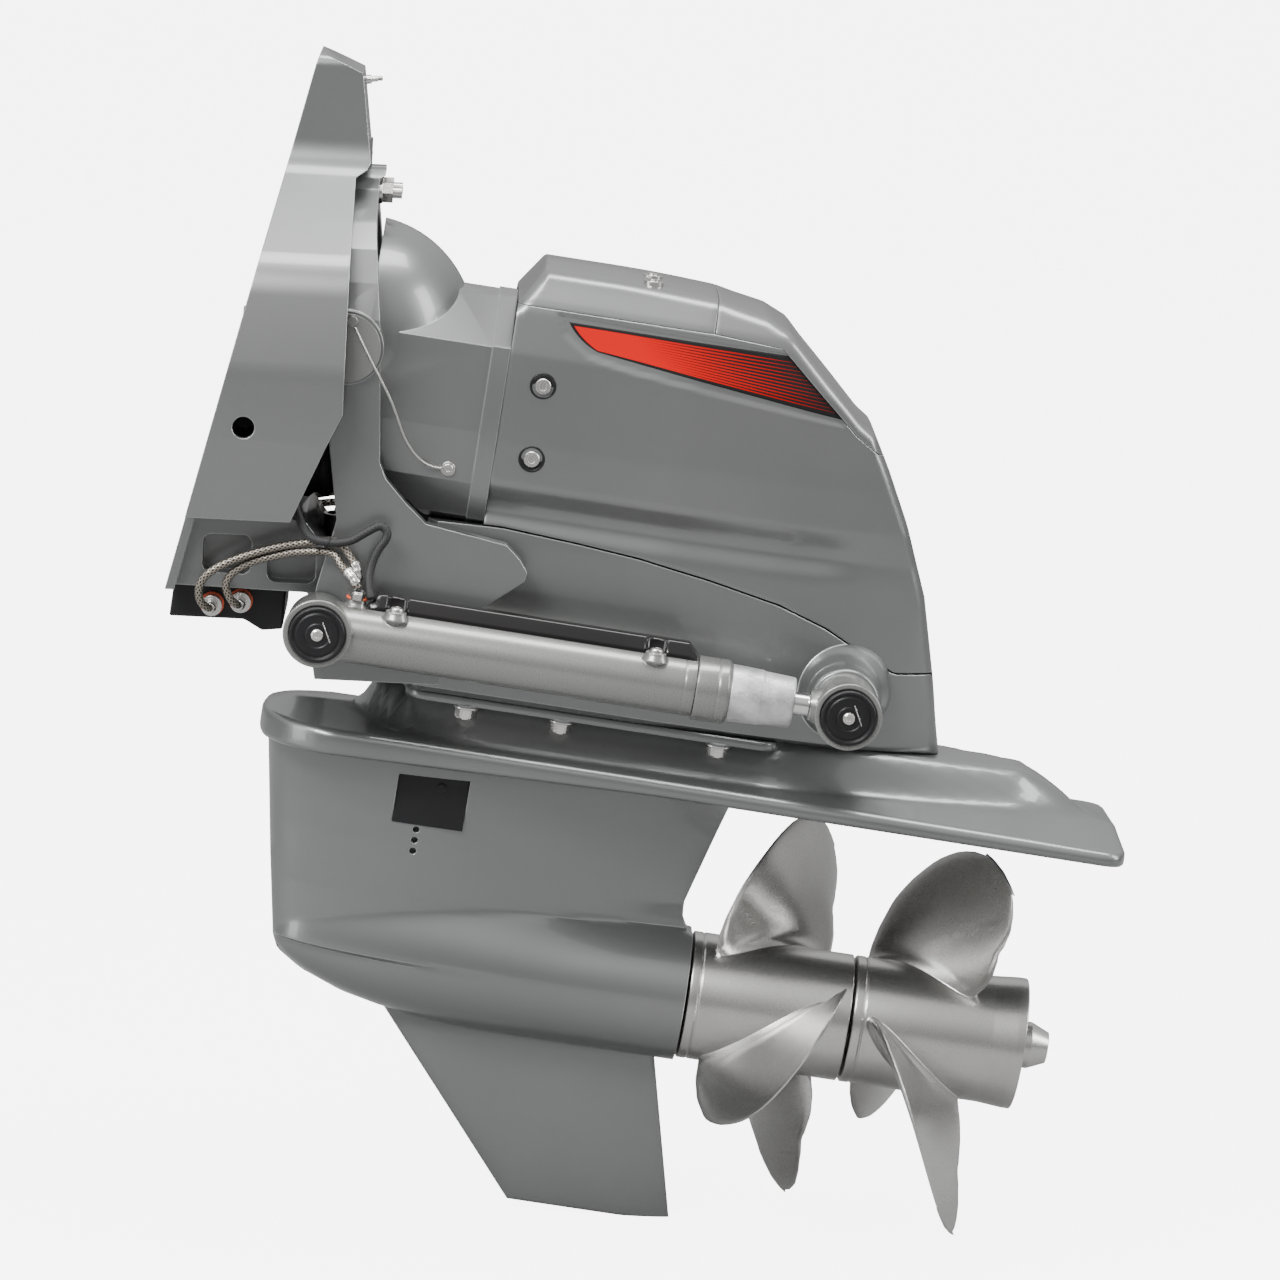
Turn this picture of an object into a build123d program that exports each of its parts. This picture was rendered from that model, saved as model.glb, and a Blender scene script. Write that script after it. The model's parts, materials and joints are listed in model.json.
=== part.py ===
from build123d import *
import os
from math import atan, atan2, cos, degrees, hypot, pi, radians, sin, tan

os.makedirs("parts", exist_ok=True)

# Every piece is drawn about the point where the steering and tilt axes cross, +X aft,
# +Y starboard, +Z up, and is then set out from the transom face
PIVOT_X = 95.0              # steering axis aft of the transom face, on the shaft line
TRANSOM_ANGLE = 13.5        # lean of the transom
TRIM_REST = 6.0             # how far the drive is tucked under at rest
RUN = 0.1                   # running clearance of a shaft in its bore, on the radius
GAP = 0.3                   # gap between covers and between bodies that pass closely

# Transom shield
SHIELD_WALL = 9.0
SHIELD_PLATE = 8.0
NECK_HALF = 42.0
NECK_FOOT = 144.0
SHOULDER_Y = 150.0
SHOULDER_Z = 66.0
SHIELD_HALF = 166.0
SHIELD_TOP = 243.0
SHIELD_BOTTOM = -221.0
SKIRT_Z = -150.0            # where the side walls end and the lower box begins
SKIRT_HALF = 156.0
LOWER_BOX_HALF = 92.0
LOWER_FLANGE_HALF = 108.0
PASSAGE_R = 90.0            # opening for the drive line
CARRIER_SEAT_R = 49.0       # stub that the bellows is clamped to
EXHAUST_Z = -120.0
EXHAUST_R = 21.0
STUD_HOLE_R = 5.5
STUD_PLACES = ((147, -60), (128, 62), (100, -190))

# Steering pins and ring
UPPER_PIN_R = 9.0
UPPER_PIN_TOP = 166.0
LOWER_PIN_R = 13.0
BUSH_WALL = 3.5
RING_HALF = 128.0
RING_INNER = 112.0
RING_TOP = 143.0
HUB_FOOT = 106.0
HUB_HALF = 30.0
HUB_SWING_R = 46.0         # room that the hub's corners need under the neck
RING_BAR_TOP = -229.0
RING_BOTTOM = -290.0
BAR_FRONT = -6.0
BAR_REAR = 40.0
HINGE_BOSS_R = 32.0
HINGE_BOSS_Y = 134.0
HINGE_BOSS_IN = 104.0
HINGE_PIN_R = 13.0
HINGE_PIN_INNER_Y = 86.0
HINGE_COVER_R = 29.5
HINGE_COVER_T = 4.0
CLAMP_BOLT_R = 5.0
CLAMP_BOLT_Y = 20.5
CLAMP_BOLT_Z = 123.0

# Bonding wires
WIRE_SCREW_R = 4.5
WIRE_SCREW_AHEAD = (4.0, 23.5)       # on the hinge cover
WIRE_SCREW_AFT = (102.0, -95.6)      # on the bell housing, in the drive's level frame
BELL_SIDE = 95.7                     # half width of the bell housing at that screw

# Trim cylinders, from the ring's anchor A to the drive's anchor B
ANCHOR_A = (-13.0, -240.0)
ANCHOR_B = (472.0, -242.0)  # in the drive's own level frame
CYL_Y = 157.0
TUBE_R = 25.5
TUBE_BORE_R = 19.5
TUBE_END = 327.0
GLAND_END = 357.0
GLAND_R = 28.0
ANODE_END = 413.0
ROD_R = 9.8
PISTON_END = 56.0
EYE_R = 28.0
EYE_RIM_R = 29.5
EYE_OUT = 30.0              # from the cylinder's centre plane to the eye's outer face
EYE_IN = 21.7
CAP_R = 24.0
CAP_T = 6.0
ANCHOR_PIN_R = 11.0
ANCHOR_BUSH_R = 14.5
REAR_PIN_R = 8.0
REAR_EYE_BORE_R = 18.4
PORT_X = 29.0
STRIP_START = 38.0
STRIP_END = 325.0

# Bell housing and upper unit, in the drive's level frame from here on
DOME_R = 101.0
DOME_X = 8.0
BELL_FRONT = 16.0
BELL_REAR = 124.0
BELL_CAVITY_R = 64.0
BELL_CAVITY_END = 50.0
BELL_FOOT = -142.0
BELL_SEAT_R = 46.0
BELL_EXHAUST_R = 21.5
COWL_FRONT = 140.0
COWL_WALL = 4.0
COVER_SEAM_Z = 54.0
COVER_SPLIT_X = 312.0
FLANGE_Z = -294.0           # joint between the driveshaft housing and the gearcase
TOWER_R = 67.0
REAR_BOSS_R = 31.0
REAR_BOSS_Y = 126.7
TOWER_TOP = 76.0
COWL_SCREW_X = 172.0
COWL_SCREW_Z = (-12.0, -76.0)
COWL_SCREW_R = 10.0
PLUG_R = 9.0
PLUG_X = 254.0
PLUG_Y = (-52.0, -6.0)

# Gear train
SHAFT_X = 215.0             # vertical shaft aft of the tilt axis
PROP_Z = -546.0             # propeller shaft below the tilt axis
INPUT_TEETH = 23
UPPER_TEETH = 28
UPPER_MODULE = 3.5
UPPER_FACE = 16.0
PINION_TEETH = 13
LOWER_TEETH = 19
LOWER_MODULE = 4.6
LOWER_FACE = 17.0
INPUT_SHAFT_R = 15.0
SHAFT_END = -94.0           # just inside the transom face
SOCKET_R = 9.0              # takes the engine's output shaft
SOCKET_DEPTH = 26.0
VERTICAL_SHAFT_R = 13.0
INNER_SHAFT_R = 13.0
OUTER_SHAFT_R = 21.0
CHAMBER_R = 57.0
PINION_BORE_R = 46.0
LOWER_CHAMBER_R = 51.0
YOKE_X = 30.0               # cross centres either side of the pivot
YOKE_R = 28.0
CROSS_R = 5.0

# Gearcase
TORPEDO_R = 60.0
TORPEDO_END = 382.0
PLATE_Z = -346.0
PLATE_T = 8.0
NECK_HALF_WIDTH = 62.0
FLANGE_HALF = 84.0
FLANGE_T = 8.0
SKEG_T = 9.0
CASE_BOLT_Y = 73.0
CASE_BOLT_X = (150.0, 234.0, 373.0)
INTAKE_X = 132.5
INTAKE_Y = 52.0
INTAKE_Z = -395.0
INTAKE_LENGTH = 63.0
INTAKE_HEIGHT = 48.0

# Propellers
HUB_R = 57.0
TIP_R = 184.0
FRONT_HUB = (TORPEDO_END + 1.5, TORPEDO_END + 147.0)
REAR_HUB = (TORPEDO_END + 149.0, TORPEDO_END + 305.0)
PROP_PITCH = 460.0
BLADES = 3

BOAT = Location((PIVOT_X, 0, 0))
DRIVE = Location((PIVOT_X, 0, 0), (0, TRIM_REST, 0))
PROP_AXIS = Axis((0, 0, PROP_Z), (1, 0, 0))

tuck = radians(TRIM_REST)
b_x = ANCHOR_B[0] * cos(tuck) + ANCHOR_B[1] * sin(tuck)
b_z = -ANCHOR_B[0] * sin(tuck) + ANCHOR_B[1] * cos(tuck)
EYE_X = hypot(b_x - ANCHOR_A[0], b_z - ANCHOR_A[1])
CYL_SLOPE = degrees(atan2(ANCHOR_A[1] - b_z, b_x - ANCHOR_A[0]))


def cylinder_place(side):
    """Frame of one trim cylinder: x runs from anchor A to anchor B, side is -1 to port."""
    return Location((PIVOT_X + ANCHOR_A[0], side * CYL_Y, ANCHOR_A[1]), (0, CYL_SLOPE, 0))


def keep(piece, name, place):
    """Label a finished piece, set it out from the transom and write it."""
    part = piece.moved(place)
    part.label = name
    export_step(part, f"parts/{name}.step")


def keep_pair(piece, name):
    """Write a trim cylinder piece to port, and its mirror image to starboard."""
    keep(piece, f"port_{name}", cylinder_place(-1))
    keep(mirror(piece, about=Plane.XZ), f"starboard_{name}", cylinder_place(1))


def both_ways(half):
    """A closed outline from its +Y half, listed from the top centre to the bottom centre."""
    return half + [(-y, z) for y, z in reversed(half) if y > 0]


def plan_ways(half):
    """A closed outline from its +Y half, listed from the front to the back."""
    return half + [(x, -y) for x, y in reversed(half) if y > 0]


def slab(points, half):
    """A plate with an outline of (x, z) points, reaching half to each side of the middle."""
    with BuildPart(mode=Mode.PRIVATE) as plate:
        with BuildSketch(Plane.XZ.offset(half)):
            with BuildLine():
                Polyline(*points, close=True)
            make_face()
        extrude(amount=-2 * half)
    return plate.part


def turned(points, axis=Axis.X):
    """A body of revolution from (x, radius) points about the X axis."""
    with BuildPart(mode=Mode.PRIVATE) as body:
        with BuildSketch(Plane.XZ):
            with BuildLine():
                Polyline(*points, close=True)
            make_face()
        revolve(axis=Axis.X)
    return body.part.moved(Location((0, 0, axis.position.Z)))


def rod(radius, start, end):
    """A plain shaft along X."""
    return turned([(start, 0), (start, radius), (end, radius), (end, 0)])


def sideways(radius, y_start, y_end, x=0.0, z=0.0, bore=0.0):
    """A pin, or with a bore a sleeve, along Y."""
    with BuildPart(mode=Mode.PRIVATE) as pin:
        with BuildSketch(Plane.XZ.offset(-y_start)):
            with Locations((x, z)):
                Circle(radius)
                if bore:
                    Circle(bore, mode=Mode.SUBTRACT)
        extrude(amount=y_start - y_end)
    return pin.part


def upright(radius, z_start, z_end, x=0.0, y=0.0, bore=0.0):
    """A pin, or with a bore a sleeve, along Z."""
    with BuildPart(mode=Mode.PRIVATE) as pin:
        with BuildSketch(Plane.XY.offset(z_start)):
            with Locations((x, y)):
                Circle(radius)
                if bore:
                    Circle(bore, mode=Mode.SUBTRACT)
        extrude(amount=z_end - z_start)
    return pin.part


# Transom shield
lean = tan(radians(TRANSOM_ANGLE))


def transom_x(z):
    return -PIVOT_X + z * lean


shield_half = [(0, SHIELD_TOP), (NECK_HALF, SHIELD_TOP), (NECK_HALF, 150), (SHOULDER_Y, SHOULDER_Z),
               (SHIELD_HALF, -20), (SHIELD_HALF - 2, -80), (SKIRT_HALF, SKIRT_Z), (0, SKIRT_Z)]
shield_rounds = {(NECK_HALF, SHIELD_TOP): 12, (NECK_HALF, 150): 40, (SHOULDER_Y, SHOULDER_Z): 60,
                 (SHIELD_HALF, -20): 90}


def shield_outline(inset):
    """The shield seen from aft, with its shoulders rounded, drawn in by inset."""
    with BuildSketch(Plane.YZ.offset(-PIVOT_X - 80), mode=Mode.PRIVATE) as outline:
        with BuildLine():
            Polyline(*both_ways(shield_half), close=True)
        make_face()
        for (y, z), r in shield_rounds.items():
            fillet([v for v in outline.vertices()
                    if abs(abs(v.X) - y) < 0.5 and abs(v.Y - z) < 0.5], r)
        if inset:
            offset(amount=-inset, kind=Kind.INTERSECTION, mode=Mode.REPLACE)
    return outline.sketch


room_front = SHIELD_PLATE / cos(radians(TRANSOM_ANGLE))
transom = Plane(origin=(-PIVOT_X, 0, 0), x_dir=(0, 1, 0),
                z_dir=(cos(radians(TRANSOM_ANGLE)), 0, -sin(radians(TRANSOM_ANGLE))))
with BuildPart() as shield_room:
    extrude(shield_outline(SHIELD_WALL), amount=260)
    add(slab([(transom_x(NECK_FOOT) + room_front, NECK_FOOT), (30, NECK_FOOT), (30, -170),
                   (transom_x(-170) + room_front, -170)], 200), mode=Mode.INTERSECT)
    add(upright(HUB_SWING_R, 60, NECK_FOOT))
    # the skirt is open below, so that the ring's arms swing through
    with BuildSketch(Plane.XY.offset(SKIRT_Z - 1)):
        with Locations((transom_x(SKIRT_Z) + room_front + 60, 0)):
            Rectangle(120, 2 * (SKIRT_HALF - SHIELD_WALL))
    extrude(amount=20)

with BuildPart() as transom_shield:
    extrude(shield_outline(0), amount=260)
    add(slab([(transom_x(233), 233), (transom_x(236) + 3, SHIELD_TOP), (2, 227), (12, 150),
                   (9, NECK_FOOT), (0, NECK_FOOT - 6), (0, -54), (-14, -85), (-41, SKIRT_Z),
                   (transom_x(SKIRT_Z), SKIRT_Z)], 200), mode=Mode.INTERSECT)
    add(shield_room.part, mode=Mode.SUBTRACT)
    # lower box with its flange on the transom
    add(slab([(transom_x(SKIRT_Z + 12), SKIRT_Z + 12), (transom_x(SHIELD_BOTTOM), SHIELD_BOTTOM),
                   (transom_x(SHIELD_BOTTOM) + room_front, SHIELD_BOTTOM),
                   (transom_x(SKIRT_Z + 12) + room_front, SKIRT_Z + 12)], LOWER_FLANGE_HALF))
    add(slab([(transom_x(-158), -158), (transom_x(-219), -219), (-8, SHIELD_BOTTOM),
                   (-8, -186), (-30, -158)], LOWER_BOX_HALF))
    # lug of the lower swivel
    with BuildSketch(Plane.XY.offset(-186)):
        with Locations((-10, 0)):
            SlotOverall(68, 48)
    extrude(amount=SHIELD_BOTTOM + 186)
    # boss for the exhaust bellows
    with BuildSketch(Plane.YZ.offset(transom_x(EXHAUST_Z) + 6)):
        with Locations((0, EXHAUST_Z)):
            Circle(EXHAUST_R + 4)
    extrude(amount=38)
    # openings for the drive line and the exhaust
    with BuildSketch(Plane.YZ.offset(-PIVOT_X - 60)):
        Circle(PASSAGE_R)
        with Locations((0, EXHAUST_Z)):
            Circle(EXHAUST_R)
    extrude(amount=180, mode=Mode.SUBTRACT)
    # pockets in the sides of the lower box
    with BuildSketch(Plane.XZ.offset(LOWER_BOX_HALF)):
        with Locations((-96, -190), (-40, -196)):
            RectangleRounded(42, 34, 8)
    extrude(amount=-22, mode=Mode.SUBTRACT)
    with BuildSketch(Plane.XZ.offset(-LOWER_BOX_HALF)):
        with Locations((-96, -190), (-40, -196)):
            RectangleRounded(42, 34, 8)
    extrude(amount=22, mode=Mode.SUBTRACT)
    # bores of the swivel bushes, and the drain hole in each side
    add(upright(UPPER_PIN_R + BUSH_WALL, NECK_FOOT - 1, UPPER_PIN_TOP + 2), mode=Mode.SUBTRACT)
    add(upright(LOWER_PIN_R + BUSH_WALL, SHIELD_BOTTOM - 1, -164), mode=Mode.SUBTRACT)
    add(sideways(9.5, -200, 200, -84, -69), mode=Mode.SUBTRACT)
    # holes for the studs in the transom, square to it
    with BuildSketch(transom.offset(-2)):
        with Locations(*[(s * y, z / cos(radians(TRANSOM_ANGLE))) for s in (-1, 1)
                         for y, z in STUD_PLACES]):
            Circle(STUD_HOLE_R)
    extrude(amount=SHIELD_PLATE + 6, mode=Mode.SUBTRACT)
keep(transom_shield.part, "transom_shield", BOAT)

with BuildPart() as swivel_bushes:
    add(upright(UPPER_PIN_R + BUSH_WALL, NECK_FOOT, UPPER_PIN_TOP + 2, bore=UPPER_PIN_R + RUN))
    add(upright(LOWER_PIN_R + BUSH_WALL, SHIELD_BOTTOM, -164, bore=LOWER_PIN_R + RUN))
keep(swivel_bushes.part, "swivel_bushes", BOAT)

with BuildPart() as grease_fitting:
    add(turned([(0, 0), (0, 4), (5, 4), (5, 2.6), (11, 2.6), (11, 1.6), (13, 2.4), (15, 1.6),
                (15, 0)]).moved(Location((3.5, 0, 218), (0, -8, 0))))
keep(grease_fitting.part, "grease_fitting", BOAT)

with BuildPart() as bearing_carrier:
    # the flange leans with the transom, the seat of the bellows lies on the shaft line
    add(rod(PASSAGE_R, -130, -60))
    add(slab([(transom_x(-100), -100), (transom_x(100), 100), (transom_x(100) + 6, 100),
              (transom_x(-100) + 6, -100)], 120), mode=Mode.INTERSECT)
    add(rod(CARRIER_SEAT_R, -100, -60))
    add(slab([(transom_x(-100), -100), (transom_x(100), 100), (0, 100), (0, -100)], 120),
        mode=Mode.INTERSECT)
    add(rod(38, -130, -50), mode=Mode.SUBTRACT)
keep(bearing_carrier.part, "bearing_carrier", BOAT)

with BuildPart() as input_bearing:
    add(turned([(-84, INPUT_SHAFT_R + RUN), (-84, 38), (-66, 38), (-66, INPUT_SHAFT_R + RUN)]))
keep(input_bearing.part, "input_bearing", BOAT)

with BuildPart() as hydraulic_manifold:
    add(slab([(-142, SHIELD_BOTTOM), (-145, -251), (-80, -251), (-64, -260), (-46, -258),
                   (-44, SHIELD_BOTTOM)], 70))
    fillet(hydraulic_manifold.edges().filter_by(Axis.Y).group_by(Axis.Z)[0], 5)
keep(hydraulic_manifold.part, "hydraulic_manifold", BOAT)

FITTING_PLACES = ((-83.0, -234.0), (-108.0, -238.0))
with BuildPart() as hose_fittings:
    for side in (-1, 1):
        for x, z in FITTING_PLACES:
            add(sideways(9, side * 70, side * 84, x, z))
            add(sideways(5, side * 84, side * 90, x, z))
keep(hose_fittings.part, "hose_fittings", BOAT)

# Gimbal ring
ring_half = [(0, RING_TOP), (HUB_HALF - 8, RING_TOP), (HUB_HALF, 136), (HUB_HALF + 2, 126),
             (76, 106), (104, 82),
             (121, 55), (130, 24), (RING_HALF, -40), (RING_HALF, RING_BOTTOM), (0, RING_BOTTOM)]
with BuildPart() as gimbal_ring:
    with BuildSketch(Plane.YZ.offset(-60)):
        with BuildLine():
            Polyline(*both_ways(ring_half), close=True)
        make_face()
        with BuildLine() as window:
            left = Line((-RING_INNER, RING_BAR_TOP), (-RING_INNER, -40))
            crown = ThreePointArc((-RING_INNER, -40), (0, HUB_FOOT), (RING_INNER, -40))
            right = Line((RING_INNER, -40), (RING_INNER, RING_BAR_TOP))
            Line(right @ 1, left @ 0)
        make_face(mode=Mode.SUBTRACT)
    extrude(amount=240)
    # the arms seen from the side, with the wings that run aft over the cylinders
    add(slab([(25, RING_TOP), (25, 138), (20, 135), (20, 102), (23, 68), (28, 18), (30, -26), (33, -99),
                   (39, -113), (56, -132), (75, -150), (145, -165), (157, -177), (164, -188),
                   (162, -196), (133, -217), (60, -262), (92, -274), (93, RING_BOTTOM),
                   (-15, RING_BOTTOM), (-19, -269), (-17, -210), (-2, -150), (-11, -87), (-14, 0),
                   (-14, 100), (-26, HUB_FOOT), (-26, RING_TOP)], 200), mode=Mode.INTERSECT)
    # the bar between the feet is slimmer than the feet
    with BuildSketch(Plane.XY.offset(RING_BAR_TOP + 1)):
        with Locations((BAR_FRONT - 20, 0)):
            Rectangle(40, 2 * RING_INNER)
        with Locations((BAR_REAR + 40, 0)):
            Rectangle(80, 2 * RING_INNER)
    extrude(amount=RING_BOTTOM - RING_BAR_TOP - 2, mode=Mode.SUBTRACT)
    add(upright(24, RING_BOTTOM, RING_BAR_TOP))
    for side in (-1, 1):
        add(sideways(HINGE_BOSS_R, side * HINGE_BOSS_IN, side * HINGE_BOSS_Y))
        add(sideways(20, side * RING_INNER, side * (RING_HALF + 6.7), *ANCHOR_A))
        # bores of the hinge pins and front anchor pins
        add(sideways(HINGE_PIN_R, side * 100, side * 140), mode=Mode.SUBTRACT)
        add(sideways(ANCHOR_PIN_R, side * 100, side * 140, *ANCHOR_A), mode=Mode.SUBTRACT)
    # bores of the swivel pins, and the clamp slit behind the upper one
    add(upright(UPPER_PIN_R, HUB_FOOT + 6, RING_TOP + 1), mode=Mode.SUBTRACT)
    add(upright(LOWER_PIN_R, RING_BOTTOM + 8, RING_BAR_TOP + 1), mode=Mode.SUBTRACT)
    with Locations((18, 0, 130)):
        Box(24, 3, 40, mode=Mode.SUBTRACT)
    with BuildSketch(Plane.YZ.offset(-40)):
        with Locations((-CLAMP_BOLT_Y, CLAMP_BOLT_Z), (CLAMP_BOLT_Y, CLAMP_BOLT_Z)):
            Circle(CLAMP_BOLT_R)
    extrude(amount=80, mode=Mode.SUBTRACT)
keep(gimbal_ring.part, "gimbal_ring", BOAT)

with BuildPart() as clamp_bolts:
    for y in (-CLAMP_BOLT_Y, CLAMP_BOLT_Y):
        add(rod(CLAMP_BOLT_R, -26, 40).moved(Location((0, y, CLAMP_BOLT_Z))))
        with BuildSketch(Plane.YZ.offset(20)):
            with Locations((y, CLAMP_BOLT_Z)):
                Circle(10)
        extrude(amount=3)
        with BuildSketch(Plane.YZ.offset(23)):
            with Locations((y, CLAMP_BOLT_Z)):
                RegularPolygon(9.8, 6)
        extrude(amount=9)
        with BuildSketch(Plane.YZ.offset(-32)):
            with Locations((y, CLAMP_BOLT_Z)):
                RegularPolygon(9.8, 6)
        extrude(amount=6)
keep(clamp_bolts.part, "clamp_bolts", BOAT)

with BuildPart() as swivel_pins:
    add(upright(UPPER_PIN_R, HUB_FOOT + 6, UPPER_PIN_TOP))
    add(upright(LOWER_PIN_R, RING_BOTTOM + 8, -166))
keep(swivel_pins.part, "swivel_pins", BOAT)

with BuildPart() as tilt_hinge_pins:
    for side in (-1, 1):
        add(sideways(HINGE_PIN_R, side * HINGE_PIN_INNER_Y, side * (HINGE_BOSS_Y - 2)))
keep(tilt_hinge_pins.part, "tilt_hinge_pins", BOAT)

with BuildPart() as hinge_covers:
    for side in (-1, 1):
        face = HINGE_BOSS_Y + HINGE_COVER_T
        add(sideways(HINGE_COVER_R, side * HINGE_BOSS_Y, side * face))
        add(sideways(WIRE_SCREW_R, side * face, side * (face + 3), *WIRE_SCREW_AHEAD))
keep(hinge_covers.part, "hinge_covers", BOAT)

with BuildPart() as front_anchor_pins:
    for side in (-1, 1):
        add(sideways(ANCHOR_PIN_R, side * RING_INNER, side * (CYL_Y + EYE_OUT - 1), *ANCHOR_A))
keep(front_anchor_pins.part, "front_anchor_pins", BOAT)

# Trim cylinder, drawn along X from its anchor eye, with -Y outboard
with BuildPart() as trim_cylinder:
    add(turned([(23, 0), (23, TUBE_R), (TUBE_END, TUBE_R), (TUBE_END, 0)]))
    add(sideways(EYE_R, -EYE_OUT, EYE_IN))
    add(sideways(EYE_RIM_R, -EYE_OUT, -EYE_OUT + 9))
    with BuildSketch(Plane.XY):
        with Locations((PORT_X, 0)):
            Circle(8)
    extrude(amount=TUBE_R + 5)
    with BuildSketch(Plane.XY):
        with Locations((64, -14), (289, -14)):
            Circle(9)
    extrude(amount=TUBE_R + 2)
    add(rod(TUBE_BORE_R, 34, TUBE_END + 1), mode=Mode.SUBTRACT)
    add(sideways(ANCHOR_BUSH_R, -EYE_OUT, EYE_IN), mode=Mode.SUBTRACT)
keep_pair(trim_cylinder.part, "trim_cylinder")

with BuildPart() as anchor_bushes:
    for side in (-1, 1):
        add(sideways(ANCHOR_BUSH_R - RUN, side * (CYL_Y - EYE_IN), side * (CYL_Y + EYE_OUT - 1),
                     *ANCHOR_A, bore=ANCHOR_PIN_R))
keep(anchor_bushes.part, "anchor_bushes", BOAT)

with BuildPart() as cylinder_gland:
    add(turned([(302, ROD_R + RUN), (302, TUBE_BORE_R), (TUBE_END, TUBE_BORE_R), (TUBE_END, GLAND_R),
                (GLAND_END - 4, GLAND_R), (GLAND_END, GLAND_R - 3), (GLAND_END, ROD_R + RUN)]))
keep_pair(cylinder_gland.part, "cylinder_gland")

with BuildPart() as cylinder_anode:
    add(turned([(GLAND_END, 11.5), (GLAND_END, 25), (380, 25), (384, 23), (ANODE_END - 3, 21),
                (ANODE_END, 18), (ANODE_END, 11.5)]))
keep_pair(cylinder_anode.part, "cylinder_anode")

with BuildPart() as cover_strip:
    with BuildSketch(Plane.XZ.offset(-10)):
        with BuildLine():
            Polyline((STRIP_START, 24), (STRIP_START + 9, 38), (STRIP_END - 8, 38), (STRIP_END, 29),
                     (STRIP_END, 24), close=True)
        make_face()
    extrude(amount=32)
    add(rod(TUBE_R + 0.1, 0, STRIP_END + 20), mode=Mode.SUBTRACT)
    with BuildSketch(Plane.XY.offset(20)):
        with Locations((64, -14), (289, -14)):
            Circle(11)
    extrude(amount=20, mode=Mode.SUBTRACT)
keep_pair(cover_strip.part, "cover_strip")

with BuildPart() as cylinder_screws:
    for x in (64, 289):
        add(upright(5, TUBE_R + 2, TUBE_R + 6, x, -14))
    with Locations((PORT_X, 0, TUBE_R + 9)):
        Box(10, 17, 8)
keep_pair(cylinder_screws.part, "cylinder_screws")

with BuildPart() as front_caps:
    for side in (-1, 1):
        outer = CYL_Y + EYE_OUT
        add(sideways(CAP_R, side * outer, side * (outer + CAP_T), *ANCHOR_A))
        add(sideways(5, side * (outer + CAP_T), side * (outer + CAP_T + 2), *ANCHOR_A))
keep(front_caps.part, "front_caps", BOAT)

with BuildPart() as piston_rod:
    add(turned([(36, 0), (36, TUBE_BORE_R - RUN), (PISTON_END, TUBE_BORE_R - RUN),
                (PISTON_END, ROD_R), (EYE_X - 20, ROD_R), (EYE_X - 20, 0)]))
    add(turned([(EYE_X - 32, 0), (EYE_X - 32, 13), (EYE_X - 22, 17), (EYE_X - 20, 17),
                (EYE_X - 20, 0)]))
    add(sideways(EYE_R, -EYE_OUT, 29.7, EYE_X))
    add(sideways(REAR_EYE_BORE_R, -EYE_OUT, 29.7, EYE_X), mode=Mode.SUBTRACT)
keep_pair(piston_rod.part, "piston_rod")

with BuildPart() as rear_cap:
    add(sideways(CAP_R, -EYE_OUT - CAP_T, -EYE_OUT, EYE_X))
    add(sideways(5, -EYE_OUT - CAP_T - 2, -EYE_OUT - CAP_T, EYE_X))
keep_pair(rear_cap.part, "rear_cap")

# Bell housing
bell_half = [(0, 55), (30, 52), (94, 15), (97, -60), (95, -105), (84, -136), (70, BELL_FOOT), (0, BELL_FOOT)]
with BuildPart() as bell_housing:
    with BuildSketch(Plane.YZ.offset(BELL_FRONT)):
        with BuildLine():
            Polyline(*both_ways(bell_half), close=True)
        make_face()
    extrude(amount=BELL_REAR - BELL_FRONT)
    with Locations((DOME_X, 0, 0)):
        Sphere(DOME_R)
    add(slab([(BELL_FRONT, 160), (BELL_REAR, 160), (BELL_REAR, -160), (94, -147),
                   (20, -88), (BELL_FRONT, -80)], 130), mode=Mode.INTERSECT)
    # flange against the upper unit
    with BuildSketch(Plane.YZ.offset(BELL_REAR)):
        with BuildLine():
            Polyline(*both_ways(bell_half), close=True)
        make_face()
        offset(amount=1.5, kind=Kind.INTERSECTION, mode=Mode.REPLACE)
    extrude(amount=COWL_FRONT - BELL_REAR - GAP)
    # exhaust boss below
    add(rod(BELL_EXHAUST_R, -4, 90).moved(Location((0, 0, EXHAUST_Z))))
    # room for the bellows, with the seat it is clamped to
    add(rod(BELL_CAVITY_R, BELL_FRONT - 1, BELL_CAVITY_END), mode=Mode.SUBTRACT)
    add(turned([(30, 38), (30, BELL_SEAT_R), (BELL_CAVITY_END + 1, BELL_SEAT_R),
                (BELL_CAVITY_END + 1, 38)]))
    add(rod(38, 28, 70), mode=Mode.SUBTRACT)
    add(rod(INPUT_SHAFT_R + 1, 60, COWL_FRONT), mode=Mode.SUBTRACT)
    add(rod(30, 92, COWL_FRONT), mode=Mode.SUBTRACT)
    add(rod(BELL_EXHAUST_R - 4, -5, 84).moved(Location((0, 0, EXHAUST_Z))), mode=Mode.SUBTRACT)
    for side in (-1, 1):
        add(sideways(HINGE_BOSS_R - 4, side * 60, side * (HINGE_BOSS_IN - GAP)))
        add(sideways(HINGE_PIN_R + RUN, side * HINGE_PIN_INNER_Y, side * 120), mode=Mode.SUBTRACT)
keep(bell_housing.part, "bell_housing", DRIVE)

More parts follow.
